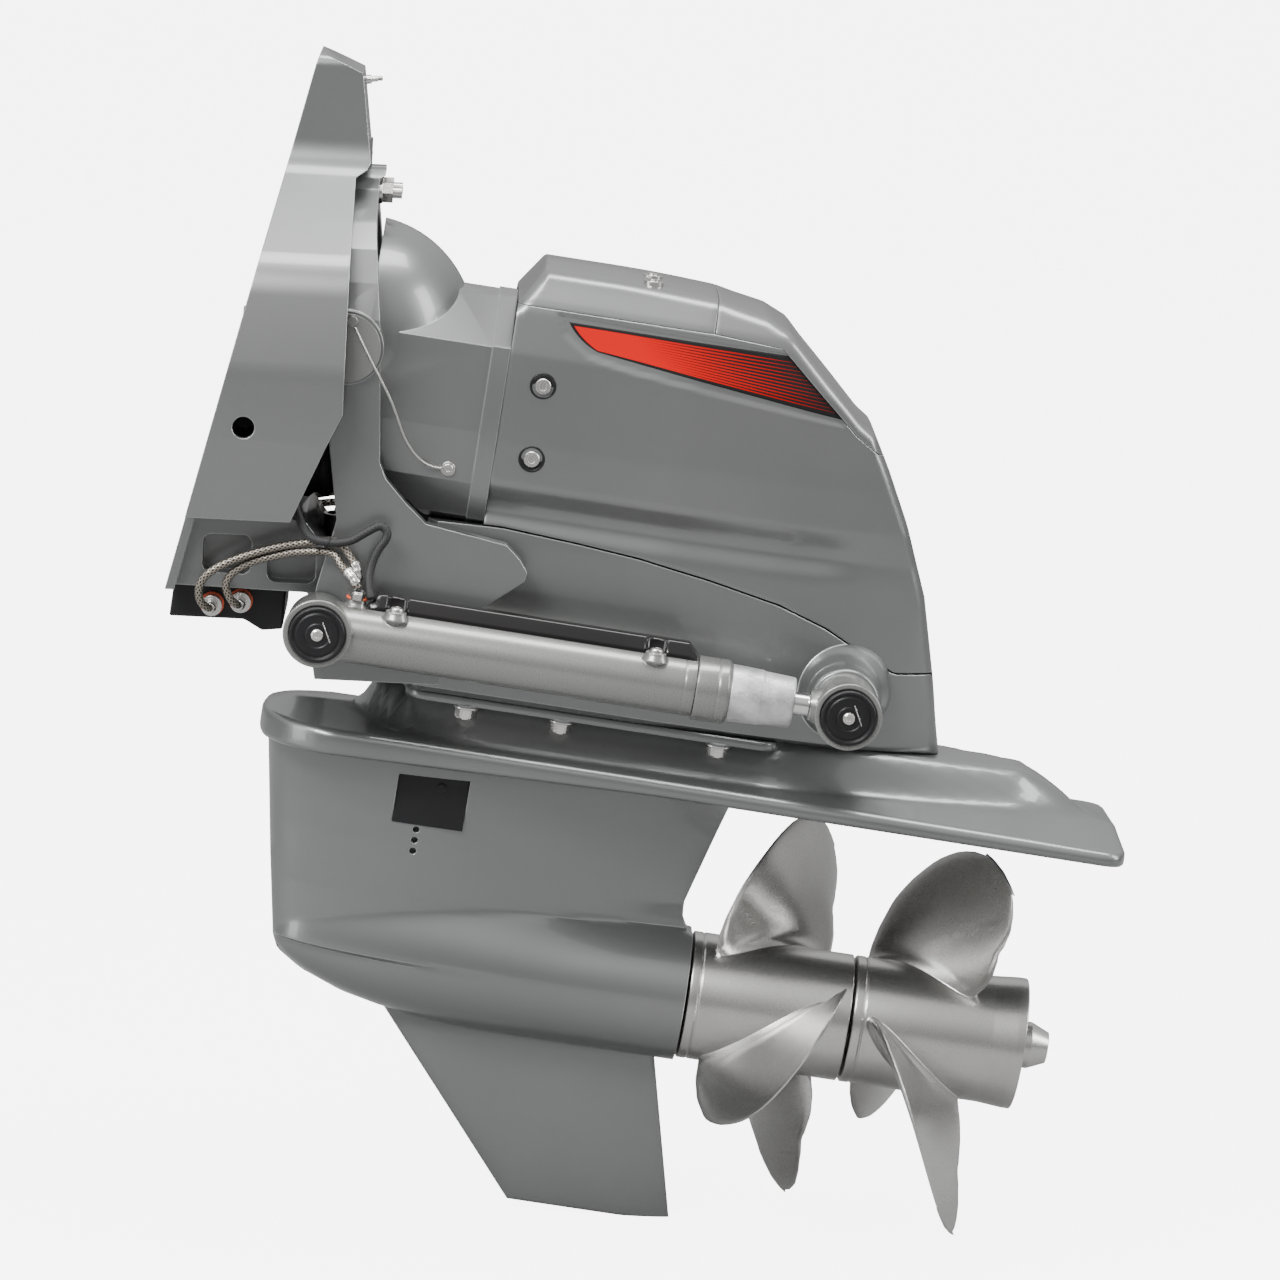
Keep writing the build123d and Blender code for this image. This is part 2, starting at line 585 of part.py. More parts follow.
# Outer form of the upper unit, shared by the cowl, the covers and the driveshaft housing
upper_side = [(92, -144), (92, FLANGE_Z), (572, FLANGE_Z), (556, -231), (534, -153), (508, -92),
              (485, -48), (465, -14), (454, -7), (425, 20), (394, 48), (379, 63), (357, 73),
              (COVER_SPLIT_X, 82), (225, 87), (161, 87), (COWL_FRONT, COVER_SEAM_Z),
              (COWL_FRONT, -144)]
upper_plan = [(90, 0), (90, 74), (104, 90), (COWL_FRONT, 97), (300, 97), (400, 89), (470, 72),
              (530, 48), (562, 26), (574, 12), (576, 0)]
upper_half = [(0, 88), (64, 86), (86, COVER_SEAM_Z + 1), (95, 12), (97, -60), (95, -103),
              (86, -117), (86, -131), (90, -142), (90, -225), (88, FLANGE_Z), (0, FLANGE_Z)]


def upper_form(inset):
    """The upper unit's outer form drawn in by inset on every side but the front and bottom."""
    with BuildPart(mode=Mode.PRIVATE) as form:
        with BuildSketch(Plane.YZ):
            with BuildLine():
                Polyline(*both_ways(upper_half), close=True)
            make_face()
            if inset:
                offset(amount=-inset, kind=Kind.INTERSECTION, mode=Mode.REPLACE)
        extrude(amount=600)
        with BuildSketch(Plane.XZ.offset(120)):
            with BuildLine():
                Polyline(*upper_side, close=True)
            make_face()
            if inset:
                offset(amount=-inset, kind=Kind.INTERSECTION, mode=Mode.REPLACE)
        extrude(amount=-240, mode=Mode.INTERSECT)
        with BuildSketch(Plane.XY.offset(-320)):
            with BuildLine():
                Polyline(*plan_ways(upper_plan), close=True)
            make_face()
            if inset:
                offset(amount=-inset, kind=Kind.INTERSECTION, mode=Mode.REPLACE)
        extrude(amount=440, mode=Mode.INTERSECT)
    return form.part


seam = [(80, -144), (156, -141), (221, -145), (278, -150), (341, -160), (405, -173), (450, -189),
        (487, -208), (517, -223), (600, -218)]


def above_seam(rise):
    """Everything of the upper unit that lies above the seam, raised by rise."""
    with BuildPart(mode=Mode.PRIVATE) as region:
        add(slab([(x, z + rise) for x, z in seam] + [(600, 120), (80, 120)], 120))
    return region.part

with BuildPart() as cowl_shell:
    add(upper_form(0))
    add(upper_form(COWL_WALL), mode=Mode.SUBTRACT)
    # open at the front below the covers, and along the seam
    add(slab([(80, COVER_SEAM_Z - 8), (COWL_FRONT + 8, COVER_SEAM_Z - 8), (COWL_FRONT + 8, -300),
              (80, -300)], 91), mode=Mode.SUBTRACT)
    add(above_seam(GAP), mode=Mode.INTERSECT)

cover_line = [(COVER_SPLIT_X, COVER_SEAM_Z), (372, 50), (386, 38), (448, -16), (470, -30), (530, -30)]
with BuildPart() as side_cowl:
    add(cowl_shell.part)
    add(slab([(80, COVER_SEAM_Z)] + cover_line + [(530, 120), (80, 120)], 130), mode=Mode.SUBTRACT)
    for side in (-1, 1):
        for z in COWL_SCREW_Z:
            add(sideways(COWL_SCREW_R + 1, side * 94.5, side * 100, COWL_SCREW_X, z),
                mode=Mode.SUBTRACT)
            add(sideways(5, side * 85, side * 100, COWL_SCREW_X, z), mode=Mode.SUBTRACT)
keep(side_cowl.part, "side_cowl", DRIVE)

with BuildPart() as top_cover:
    add(cowl_shell.part)
    add(slab([(80, COVER_SEAM_Z + GAP), (COVER_SPLIT_X - GAP, COVER_SEAM_Z + GAP),
              (COVER_SPLIT_X - GAP, 120), (80, 120)], 130), mode=Mode.INTERSECT)
    for y in PLUG_Y:
        add(upright(PLUG_R, TOWER_TOP + 2, 96, PLUG_X, y), mode=Mode.SUBTRACT)
keep(top_cover.part, "top_cover", DRIVE)

with BuildPart() as rear_cover:
    add(cowl_shell.part)
    add(slab([(x + GAP, z + GAP) for x, z in cover_line] + [(530, 120), (COVER_SPLIT_X + GAP, 120)],
             130), mode=Mode.INTERSECT)
keep(rear_cover.part, "rear_cover", DRIVE)

with BuildPart() as oil_plugs:
    for y in PLUG_Y:
        add(upright(PLUG_R - GAP, TOWER_TOP, 88, PLUG_X, y))
        add(upright(4.5, 88, 89.5, PLUG_X, y))
keep(oil_plugs.part, "oil_plugs", DRIVE)

with BuildPart() as cowl_screws:
    for side in (-1, 1):
        for z in COWL_SCREW_Z:
            add(sideways(COWL_SCREW_R, side * 94.5, side * 96.5, COWL_SCREW_X, z))
            add(sideways(6.5, side * 96.5, side * 100, COWL_SCREW_X, z))
            add(sideways(4.9, side * 80, side * 94.5, COWL_SCREW_X, z))
        add(sideways(WIRE_SCREW_R, side * BELL_SIDE, side * (BELL_SIDE + 3.5), *WIRE_SCREW_AFT))
keep(cowl_screws.part, "cowl_screws", DRIVE)

# Driveshaft housing: the visible body below the seam, and the gear tower inside the cowl
with BuildPart() as driveshaft_housing:
    add(upper_form(0))
    add(above_seam(0), mode=Mode.SUBTRACT)
    add(upright(TOWER_R, -200, COVER_SEAM_Z + 4, SHAFT_X))
    add(upright(TOWER_R - 15, 0, TOWER_TOP, SHAFT_X))
    add(slab([(COWL_FRONT, -60), (COWL_FRONT, COVER_SEAM_Z - 8.3), (SHAFT_X, COVER_SEAM_Z - 8.3),
              (SHAFT_X, -60)], 60))
    for y in PLUG_Y:
        add(upright(PLUG_R + 3, 20, TOWER_TOP, PLUG_X, y))
    # pads for the cowl screws
    for side in (-1, 1):
        for z in COWL_SCREW_Z:
            add(sideways(11, side * 50, side * 90.8, COWL_SCREW_X, z))
            add(sideways(5, side * 79, side * 95, COWL_SCREW_X, z), mode=Mode.SUBTRACT)
        add(sideways(REAR_BOSS_R, side * 50, side * REAR_BOSS_Y, *ANCHOR_B))
    # chamber of the upper gears, bores of the input pinion and of the vertical shaft
    add(upright(CHAMBER_R, -CHAMBER_R - 4, CHAMBER_R, SHAFT_X), mode=Mode.SUBTRACT)
    add(rod(PINION_BORE_R, COWL_FRONT - 1, SHAFT_X), mode=Mode.SUBTRACT)
    add(upright(26, FLANGE_Z - 1, TOWER_TOP - 4, SHAFT_X), mode=Mode.SUBTRACT)
    add(sideways(REAR_PIN_R, -140, 140, *ANCHOR_B), mode=Mode.SUBTRACT)
    # holes of the bolts from below
    for x in CASE_BOLT_X:
        for y in (-CASE_BOLT_Y, CASE_BOLT_Y):
            add(upright(5, FLANGE_Z - 1, FLANGE_Z + 26, x, y), mode=Mode.SUBTRACT)
keep(driveshaft_housing.part, "driveshaft_housing", DRIVE)

with BuildPart() as rear_anchor_pin:
    add(sideways(REAR_PIN_R, -(CYL_Y + EYE_OUT - 2), CYL_Y + EYE_OUT - 2, *ANCHOR_B))
keep(rear_anchor_pin.part, "rear_anchor_pin", DRIVE)

with BuildPart() as rear_bushes:
    for side in (-1, 1):
        add(sideways(REAR_EYE_BORE_R - RUN, side * (REAR_BOSS_Y + 1), side * (CYL_Y + EYE_OUT - 3),
                     *ANCHOR_B, bore=REAR_PIN_R))
keep(rear_bushes.part, "rear_bushes", DRIVE)

# Gearcase


def case_section(z, nose, tail, half, tail_half):
    """A waterline of the strut: a round nose, the widest point forward, a blunt tail."""
    chord = tail - nose
    with BuildSketch(Plane.XY.offset(z), mode=Mode.PRIVATE) as waterline:
        with BuildLine():
            port = Spline((tail, tail_half), (nose + 0.70 * chord, 0.72 * half),
                          (nose + 0.34 * chord, half), (nose + 0.08 * chord, 0.62 * half), (nose, 0),
                          (nose + 0.08 * chord, -0.62 * half), (nose + 0.34 * chord, -half),
                          (nose + 0.70 * chord, -0.72 * half), (tail, -tail_half))
            Line(port @ 1, port @ 0)
        make_face()
    return waterline.sketch


plate_plan = [(-27, 0), (-24, 30), (-8, 66), (32, 92), (300, 98), (724, 118), (736, 96), (740, 0)]
neck_plan = [(62, 0), (70, 22), (104, 48), (160, NECK_HALF_WIDTH), (420, NECK_HALF_WIDTH),
             (560, 46), (640, 30), (700, 12), (706, 0)]
with BuildPart() as strut:
    loft([case_section(PLATE_Z - PLATE_T, -24, 402, 84, 15), case_section(-395, -15, 390, 60, 9),
          case_section(-440, -8, 378, 50, 7), case_section(-490, 2, 372, 47, 7),
          case_section(PROP_Z, 14, 372, 46, 7)])

torpedo_side = [(12, 0), (18, 14), (41, 29), (80, 44), (121, 53), (200, 59), (300, TORPEDO_R),
                (TORPEDO_END, TORPEDO_R), (TORPEDO_END, 0)]
with BuildPart() as torpedo:
    with BuildSketch(Plane.XZ):
        with BuildLine():
            Spline(torpedo_side[0:7], tangents=[(0, 1), (1, 0)])
            Polyline((300, TORPEDO_R), (TORPEDO_END, TORPEDO_R), (TORPEDO_END, 0), (12, 0))
        make_face()
    revolve(axis=Axis.X)

with BuildPart() as gearcase:
    add(strut.part)
    add(torpedo.part.moved(Location((0, 0, PROP_Z))))
    with BuildSketch(Plane.XY.offset(PLATE_Z - PLATE_T)):
        with BuildLine():
            Polyline(*plan_ways(plate_plan), close=True)
        make_face()
        fillet([v for v in vertices() if v.X < 40], 18)
        fillet([v for v in vertices() if v.X > 720], 20)
    extrude(amount=PLATE_T)
    with BuildSketch(Plane.XY.offset(PLATE_Z - 2)):
        with BuildLine():
            Polyline(*plan_ways(neck_plan), close=True)
        make_face()
    extrude(amount=FLANGE_Z - PLATE_Z + 2)
    add(slab([(646, FLANGE_Z + 1), (720, FLANGE_Z + 1), (720, PLATE_Z), (702, PLATE_Z)], 60),
        mode=Mode.SUBTRACT)
    # flange under the driveshaft housing
    with BuildSketch(Plane.XY.offset(FLANGE_Z)):
        with Locations((260, 0)):
            RectangleRounded(330, 2 * FLANGE_HALF, 20)
    extrude(amount=-FLANGE_T)
    add(slab([(118, -596), (122, -590), (370, -590), (366, -612), (405, -752), (402, -757),
              (262, -757), (255, -753)], SKEG_T / 2))
    # recesses of the water intakes
    for side in (-1, 1):
        with Locations((INTAKE_X, side * (INTAKE_Y + 20), INTAKE_Z)):
            Box(INTAKE_LENGTH, 40, INTAKE_HEIGHT, mode=Mode.SUBTRACT)
        for z in (-423.5, -433.5, -443.5):
            add(sideways(3, side * 32, side * 70, 123.5, z), mode=Mode.SUBTRACT)
    # bore of the vertical shaft, and the gear chamber open aft
    add(upright(20, -520, FLANGE_Z + 1, SHAFT_X), mode=Mode.SUBTRACT)
    add(upright(35, PROP_Z, -474, SHAFT_X), mode=Mode.SUBTRACT)
    add(turned([(150, 0), (150, 40), (165, LOWER_CHAMBER_R), (TORPEDO_END + 1, LOWER_CHAMBER_R),
                (TORPEDO_END + 1, 0)], PROP_AXIS), mode=Mode.SUBTRACT)
    for x in CASE_BOLT_X:
        for y in (-CASE_BOLT_Y, CASE_BOLT_Y):
            add(upright(5, FLANGE_Z - 20, FLANGE_Z + 1, x, y), mode=Mode.SUBTRACT)
keep(gearcase.part, "gearcase", DRIVE)

with BuildPart() as intake_screens:
    for side in (-1, 1):
        with Locations((INTAKE_X, side * (INTAKE_Y + 1.5), INTAKE_Z)):
            Box(INTAKE_LENGTH - GAP, 3, INTAKE_HEIGHT - GAP)
        add(sideways(4, side * (INTAKE_Y + 3), side * (INTAKE_Y + 5), 140, -383))
keep(intake_screens.part, "intake_screens", DRIVE)

with BuildPart() as gearcase_bolts:
    for x in CASE_BOLT_X:
        for y in (-CASE_BOLT_Y, CASE_BOLT_Y):
            add(upright(5, FLANGE_Z - FLANGE_T, FLANGE_Z + 25, x, y))
            add(upright(11, FLANGE_Z - FLANGE_T - 2, FLANGE_Z - FLANGE_T, x, y))
            with BuildSketch(Plane.XY.offset(FLANGE_Z - FLANGE_T - 2)):
                with Locations((x, y)):
                    RegularPolygon(9, 6)
            extrude(amount=-9)
keep(gearcase_bolts.part, "gearcase_bolts", DRIVE)

# Gear train


def bevel_gear(teeth, mate, module, face, bore, hub, hub_length, turn):
    """A straight bevel gear about Z with its apex at the origin, and its teeth facing it."""
    cone = atan(teeth / mate)
    outer = module * teeth / 2 / sin(cone)
    inner = outer - face
    addendum = 0.8 * module
    dedendum = module

    def on_cone(distance, depth):
        """Radius and height of a point at a distance from the apex, depth below the pitch cone."""
        return (distance * sin(cone) - depth * cos(cone), distance * cos(cone) + depth * sin(cone))

    root_in = on_cone(inner, dedendum * inner / outer)
    root_out = on_cone(outer, dedendum)
    back = root_out[1] + 5
    sections = []
    for distance in (inner, outer):
        scale = distance / outer
        r, h = on_cone(distance, 0)
        plane = Plane(origin=(r, 0, h), x_dir=(0, 1, 0), z_dir=(sin(cone), 0, cos(cone)))
        root = 0.22 * pi * module * scale + 0.36 * dedendum * scale
        tip = 0.19 * pi * module * scale - 0.36 * addendum * scale
        with BuildSketch(plane, mode=Mode.PRIVATE) as profile:
            with BuildLine():
                Polyline((-root, dedendum * scale + 0.4), (root, dedendum * scale + 0.4),
                         (tip, -addendum * scale), (-tip, -addendum * scale), close=True)
            make_face()
        sections.append(profile.sketch)
    with BuildPart(mode=Mode.PRIVATE) as tooth:
        loft(sections, ruled=True)
    with BuildPart(mode=Mode.PRIVATE) as gear:
        with BuildSketch(Plane.XZ):
            with BuildLine():
                Polyline((bore, root_in[1]), root_in, root_out, (root_out[0], back), (hub, back),
                         (hub, back + hub_length), (bore, back + hub_length), close=True)
            make_face()
        revolve(axis=Axis.Z)
        with PolarLocations(0, teeth, start_angle=turn):
            add(tooth.part)
    return gear.part


upper_apex = (SHAFT_X, 0, 0)
lower_apex = (SHAFT_X, 0, PROP_Z)


def yoke(base):
    """A fork on a shaft along X, its ears reaching toward the pivot, drawn for the aft side."""
    with BuildPart(mode=Mode.PRIVATE) as fork:
        add(turned([(YOKE_X + 14, 0), (YOKE_X + 14, YOKE_R - 2), (YOKE_X + 20, YOKE_R - 4),
                    (YOKE_X + 24, base), (YOKE_X + 24, 0)]))
        for side in (-1, 1):
            with Locations((YOKE_X + 2, side * (YOKE_R - 7), 0)):
                Box(24, 8, 22)
        add(turned([(0, YOKE_R), (0, YOKE_R + 20), (70, YOKE_R + 20), (70, YOKE_R)]),
            mode=Mode.SUBTRACT)
        add(sideways(CROSS_R + RUN, -40, 40, YOKE_X), mode=Mode.SUBTRACT)
    return fork.part


with BuildPart() as coupling_shaft:
    add(mirror(yoke(INPUT_SHAFT_R), about=Plane.YZ))
    add(rod(INPUT_SHAFT_R, SHAFT_END, -YOKE_X - 23))
    add(rod(SOCKET_R, SHAFT_END - 1, SHAFT_END + SOCKET_DEPTH), mode=Mode.SUBTRACT)
keep(coupling_shaft.part, "coupling_shaft", BOAT)

with BuildPart() as cross:
    add(sideways(CROSS_R, -YOKE_R + 1, YOKE_R - 1, YOKE_X))
    add(upright(CROSS_R, -17, 17, YOKE_X))


def tucked(x, z):
    """A point of the drive's level frame, seen in the boat's frame."""
    return (x * cos(tuck) + z * sin(tuck), z * cos(tuck) - x * sin(tuck))


reach = YOKE_X + 4
with BuildPart() as universal_joint:
    add(slab([(-reach, 14), (0, 14), tucked(reach, 14), tucked(reach, 20), (0, 20), (-reach, 20)], 6))
    add(slab([(-reach, -14), (0, -14), tucked(reach, -14), tucked(reach, -20), (0, -20),
              (-reach, -20)], 6))
    add(slab([(-9, -17), (9, -17), (9, 17), (-9, 17)], 6))
    add(mirror(cross.part, about=Plane.YZ))
    add(cross.part.moved(Location((0, 0, 0), (0, TRIM_REST, 0))))
keep(universal_joint.part, "universal_joint", BOAT)

with BuildPart() as input_pinion:
    add(bevel_gear(INPUT_TEETH, UPPER_TEETH, UPPER_MODULE, UPPER_FACE, 0, 24, 10,
                   180 / INPUT_TEETH).moved(Location(upper_apex, (0, -90, 0))))
    add(rod(INPUT_SHAFT_R, YOKE_X + 23, 150))
    add(yoke(INPUT_SHAFT_R))
keep(input_pinion.part, "input_pinion", DRIVE)

with BuildPart() as ahead_gear:
    add(bevel_gear(UPPER_TEETH, INPUT_TEETH, UPPER_MODULE, UPPER_FACE, VERTICAL_SHAFT_R, 24, 2,
                   0).moved(Location(upper_apex)))
keep(ahead_gear.part, "ahead_gear", DRIVE)

with BuildPart() as astern_gear:
    add(bevel_gear(UPPER_TEETH, INPUT_TEETH, UPPER_MODULE, UPPER_FACE, VERTICAL_SHAFT_R + RUN, 24, 2,
                   180 / UPPER_TEETH).moved(Location(upper_apex, (0, 180, 0))))
keep(astern_gear.part, "astern_gear", DRIVE)

with BuildPart() as clutch_sleeve:
    add(upright(20, -24, 24, SHAFT_X, bore=VERTICAL_SHAFT_R))
    add(upright(24, -3, 3, SHAFT_X, bore=VERTICAL_SHAFT_R))
keep(clutch_sleeve.part, "clutch_sleeve", DRIVE)

with BuildPart() as vertical_shaft:
    add(upright(VERTICAL_SHAFT_R, PROP_Z + 46, TOWER_TOP - 6, SHAFT_X))
    add(bevel_gear(PINION_TEETH, LOWER_TEETH, LOWER_MODULE, LOWER_FACE, 0, 20, 8,
                   0).moved(Location(lower_apex)))
keep(vertical_shaft.part, "vertical_shaft", DRIVE)

with BuildPart() as inner_propeller_shaft:
    add(bevel_gear(LOWER_TEETH, PINION_TEETH, LOWER_MODULE, LOWER_FACE, 0, 24, 6,
                   0).moved(Location(lower_apex, (0, -90, 0))))
    add(turned([(SHAFT_X - 24, 0), (SHAFT_X - 24, INNER_SHAFT_R), (REAR_HUB[1] + 8, INNER_SHAFT_R),
                (REAR_HUB[1] + 8, 0)], PROP_AXIS))
keep(inner_propeller_shaft.part, "inner_propeller_shaft", DRIVE)

with BuildPart() as outer_propeller_shaft:
    add(bevel_gear(LOWER_TEETH, PINION_TEETH, LOWER_MODULE, LOWER_FACE, INNER_SHAFT_R + RUN, 26, 4,
                   0).moved(Location(lower_apex, (0, 90, 0))))
    add(turned([(SHAFT_X + 39, INNER_SHAFT_R + RUN), (SHAFT_X + 39, OUTER_SHAFT_R),
                (FRONT_HUB[1] - 6, OUTER_SHAFT_R), (FRONT_HUB[1] - 6, INNER_SHAFT_R + RUN)],
               PROP_AXIS))
keep(outer_propeller_shaft.part, "outer_propeller_shaft", DRIVE)

with BuildPart() as bearing_carrier_aft:
    add(turned([(274, 34), (274, LOWER_CHAMBER_R), (TORPEDO_END - 2, LOWER_CHAMBER_R),
                (TORPEDO_END - 2, 34)], PROP_AXIS))
keep(bearing_carrier_aft.part, "propeller_shaft_carrier", DRIVE)

with BuildPart() as drive_bearings:
    for start, end in ((276, 292), (352, 372)):
        add(turned([(start, OUTER_SHAFT_R + RUN), (start, 34), (end, 34), (end, OUTER_SHAFT_R + RUN)],
                   PROP_AXIS))
    add(turned([(94, INPUT_SHAFT_R + RUN), (94, 30), (116, 30), (116, INPUT_SHAFT_R + RUN)]))
    add(upright(26, -286, -268, SHAFT_X, bore=VERTICAL_SHAFT_R + RUN))
    add(upright(20, -470, -452, SHAFT_X, bore=VERTICAL_SHAFT_R + RUN))
    add(upright(26, CHAMBER_R + 1, CHAMBER_R + 9, SHAFT_X, bore=VERTICAL_SHAFT_R + RUN))
keep(drive_bearings.part, "drive_bearings", DRIVE)

# Bellows


def bellows(start, end, front_r, rear_r, front_cuff, height, folds):
    """A corrugated sleeve along X with plain cuffs, the inner radius going from front_r to rear_r."""
    wall = 2.5
    rear_cuff = 9
    step = (end - start - front_cuff - rear_cuff) / folds
    lining = [(start, front_r), (start + front_cuff, front_r)]
    for fold in range(folds):
        x = start + front_cuff + fold * step
        r = front_r + (rear_r - front_r) * (fold + 1) / folds
        lining += [(x + 0.35 * step, r + height), (x + 0.65 * step, r + height), (x + step, r)]
    lining.append((end, rear_r))
    return [(x, r + wall) for x, r in lining] + lining[::-1]


slip = degrees(atan2(40 * sin(tuck), 109))
with BuildPart() as universal_joint_bellows:
    add(turned(bellows(-6.5, 115, CARRIER_SEAT_R + 0.6, BELL_SEAT_R + 0.7, 9, 7, 6)
               ).moved(Location((-69, 0, 0), (0, slip, 0))))
keep(universal_joint_bellows.part, "universal_joint_bellows", BOAT)

with BuildPart() as exhaust_bellows:
    add(turned(bellows(-106, 0.5, EXHAUST_R + 4.3, BELL_EXHAUST_R + 1, 20, 4.5, 5)
               ).moved(Location((0, 0, EXHAUST_Z))))
keep(exhaust_bellows.part, "exhaust_bellows", BOAT)

# Propellers: each blade is lofted through lens sections set to the pitch of the screw


def propeller(hub, bore, hand, rake, phase, root_x):
    """A three-bladed propeller about the shaft axis; hand is 1 for left, -1 for right; phase is
    in degrees from +Z toward port."""
    radii = (HUB_R - 12, 75, 110, 145, 170, TIP_R)
    chords = (122, 150, 162, 142, 96, 24)
    thick = (15, 10.5, 7.5, 5.5, 4.2, 3)
    sections = []
    for radius, chord, t in zip(radii, chords, thick):
        pitch = degrees(atan2(PROP_PITCH, 2 * pi * radius))
        back = root_x + rake * (radius - HUB_R) / (TIP_R - HUB_R)
        skew = hand * 26 * ((radius - HUB_R) / (TIP_R - HUB_R)) ** 2
        plane = Plane(origin=(back, skew, radius), x_dir=(1, 0, 0), z_dir=(0, 0, 1))
        with BuildSketch(plane, mode=Mode.PRIVATE) as lens:
            turn = radians(hand * (90 - pitch))
            ahead = Vector(cos(turn), sin(turn))
            across = Vector(-sin(turn), cos(turn))
            with BuildLine():
                ThreePointArc(-ahead * chord / 2, across * 0.65 * t, ahead * chord / 2)
                ThreePointArc(ahead * chord / 2, -across * 0.35 * t, -ahead * chord / 2)
            make_face()
        sections.append(lens.sketch)
    with BuildPart(mode=Mode.PRIVATE) as blade:
        loft(sections)
    with BuildPart(mode=Mode.PRIVATE) as screw:
        add(turned([(hub[0], bore), (hub[0], HUB_R), (hub[1], HUB_R), (hub[1], bore)]))
        for n in range(BLADES):
            turn = Location((0, 0, 0), (phase + n * 360 / BLADES, 0, 0))
            add(blade.part.moved(turn))
    return screw.part.moved(Location((0, 0, PROP_Z)))


with BuildPart() as front_propeller:
    add(propeller(FRONT_HUB, OUTER_SHAFT_R, 1, 32, -20, sum(FRONT_HUB) / 2))
keep(front_propeller.part, "front_propeller", DRIVE)

with BuildPart() as rear_propeller:
    add(propeller(REAR_HUB, INNER_SHAFT_R, -1, 38, 7, sum(REAR_HUB) / 2 - 15))
keep(rear_propeller.part, "rear_propeller", DRIVE)

with BuildPart() as propeller_nut:
    add(turned([(REAR_HUB[1], INNER_SHAFT_R), (REAR_HUB[1], 21), (REAR_HUB[1] + 10, 21),
                (REAR_HUB[1] + 26, 14), (REAR_HUB[1] + 26, 0), (REAR_HUB[1] + 8, 0),
                (REAR_HUB[1] + 8, INNER_SHAFT_R)], PROP_AXIS))
keep(propeller_nut.part, "propeller_nut", DRIVE)

# Hoses, sensor cables and bonding wires: straight runs joined by arcs, as large as the runs allow
HOSE_D = 7.0
CABLE_D = 7.5
WIRE_D = 2.2
hose_ahead = [(-108, 90, -238), (-108, 104, -238), (-118, 116, -229), (-118, 123, -209),
              (-98, 125, -193), (-66, 128, -180), (-38, 133, -171.5), (-14, 138.5, -167.3)]
hose_behind = [(-83, 90, -234), (-83, 103, -234), (-91, 114, -227), (-97, 119, -209),
               (-80, 121, -193), (-50, 127, -183), (-32, 133, -178), (-14, 138, -176.5)]
cable_start = [(-113.5, 125, -112), (-85, 125, -119), (-60, 126, -121), (-41, 129, -130),
               (-35, 136, -146), (-29, 142, -158), (-20, 146, -166.5), (-6, 149, -166.5)]
hose_ahead_end = [(-13.9, 138.52, -167.28), (0.9, 141.9, -164.7), (11.5, 146, -178),
                  (19.5, 151.5, -190), (20.1, 153, -202.8)]
hose_behind_end = [(-13.9, 138.03, -176.49), (-1.4, 141.5, -175.45), (4, 149, -187),
                   (14.5, 160, -192.5), (20.1, 161, -202.8)]
cable_end = [(-5.9, 149.02, -166.5), (8, 152, -166.5), (24, 151, -156), (37, 148, -148.5),
             (44.5, 149.5, -157.5), (34, 151, -171.5), (29, 153, -187), (28, 158.5, -200),
             (31.2, 162.5, -211.4)]
wire_route = [(6.6, 139.4, 18.5), (18, 142, -3), (31, 140, -26), (40, 135, -43), (46.5, 128, -60),
              (53, 119, -79), (64, 108, -95.5), (76, 99.5, -104.5), (86.2, 98, -105.4)]


def cord(points, diameter, side):
    """A tube along a route of (x, y, z) points; side is -1 to port."""
    route = [Vector(x, side * y, z) for x, y, z in points]
    radii = []
    for before, corner, after in zip(route, route[1:], route[2:]):
        turn = radians((corner - before).get_angle(after - corner))
        run = min((corner - before).length, (after - corner).length)
        radii.append(0.45 * run / tan(turn / 2))
    if side < 0:
        print("cord radii", [round(r, 1) for r in radii])
    with BuildPart(mode=Mode.PRIVATE) as tube:
        with BuildLine() as path:
            FilletPolyline(*route, radius=radii)
        with BuildSketch(Plane(origin=path.line @ 0, z_dir=path.line % 0)):
            Circle(diameter / 2)
        sweep()
    length = sum(edge.length for edge in path.edges())
    print("tube to section times length", round(tube.part.volume / (pi * diameter ** 2 / 4 * length), 4))
    return tube.part


with BuildPart() as hoses_at_transom:
    for side in (-1, 1):
        add(cord(hose_ahead, HOSE_D, side))
        add(cord(hose_behind, HOSE_D, side))
        add(cord(cable_start, CABLE_D, side))
keep(hoses_at_transom.part, "hoses_at_transom", BOAT)

with BuildPart() as hoses_at_ring:
    for side in (-1, 1):
        add(cord(hose_ahead_end, HOSE_D, side))
        add(cord(hose_behind_end, HOSE_D, side))
        add(cord(cable_end, CABLE_D, side))
keep(hoses_at_ring.part, "hoses_at_ring", BOAT)

with BuildPart() as bonding_wires:
    for side in (-1, 1):
        add(cord(wire_route, WIRE_D, side))
keep(bonding_wires.part, "bonding_wires", BOAT)
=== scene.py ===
import json
from math import atan2, cos, hypot, pi, radians, sin, sqrt

import bmesh
import bpy
import numpy as np
from mathutils import Matrix, Vector

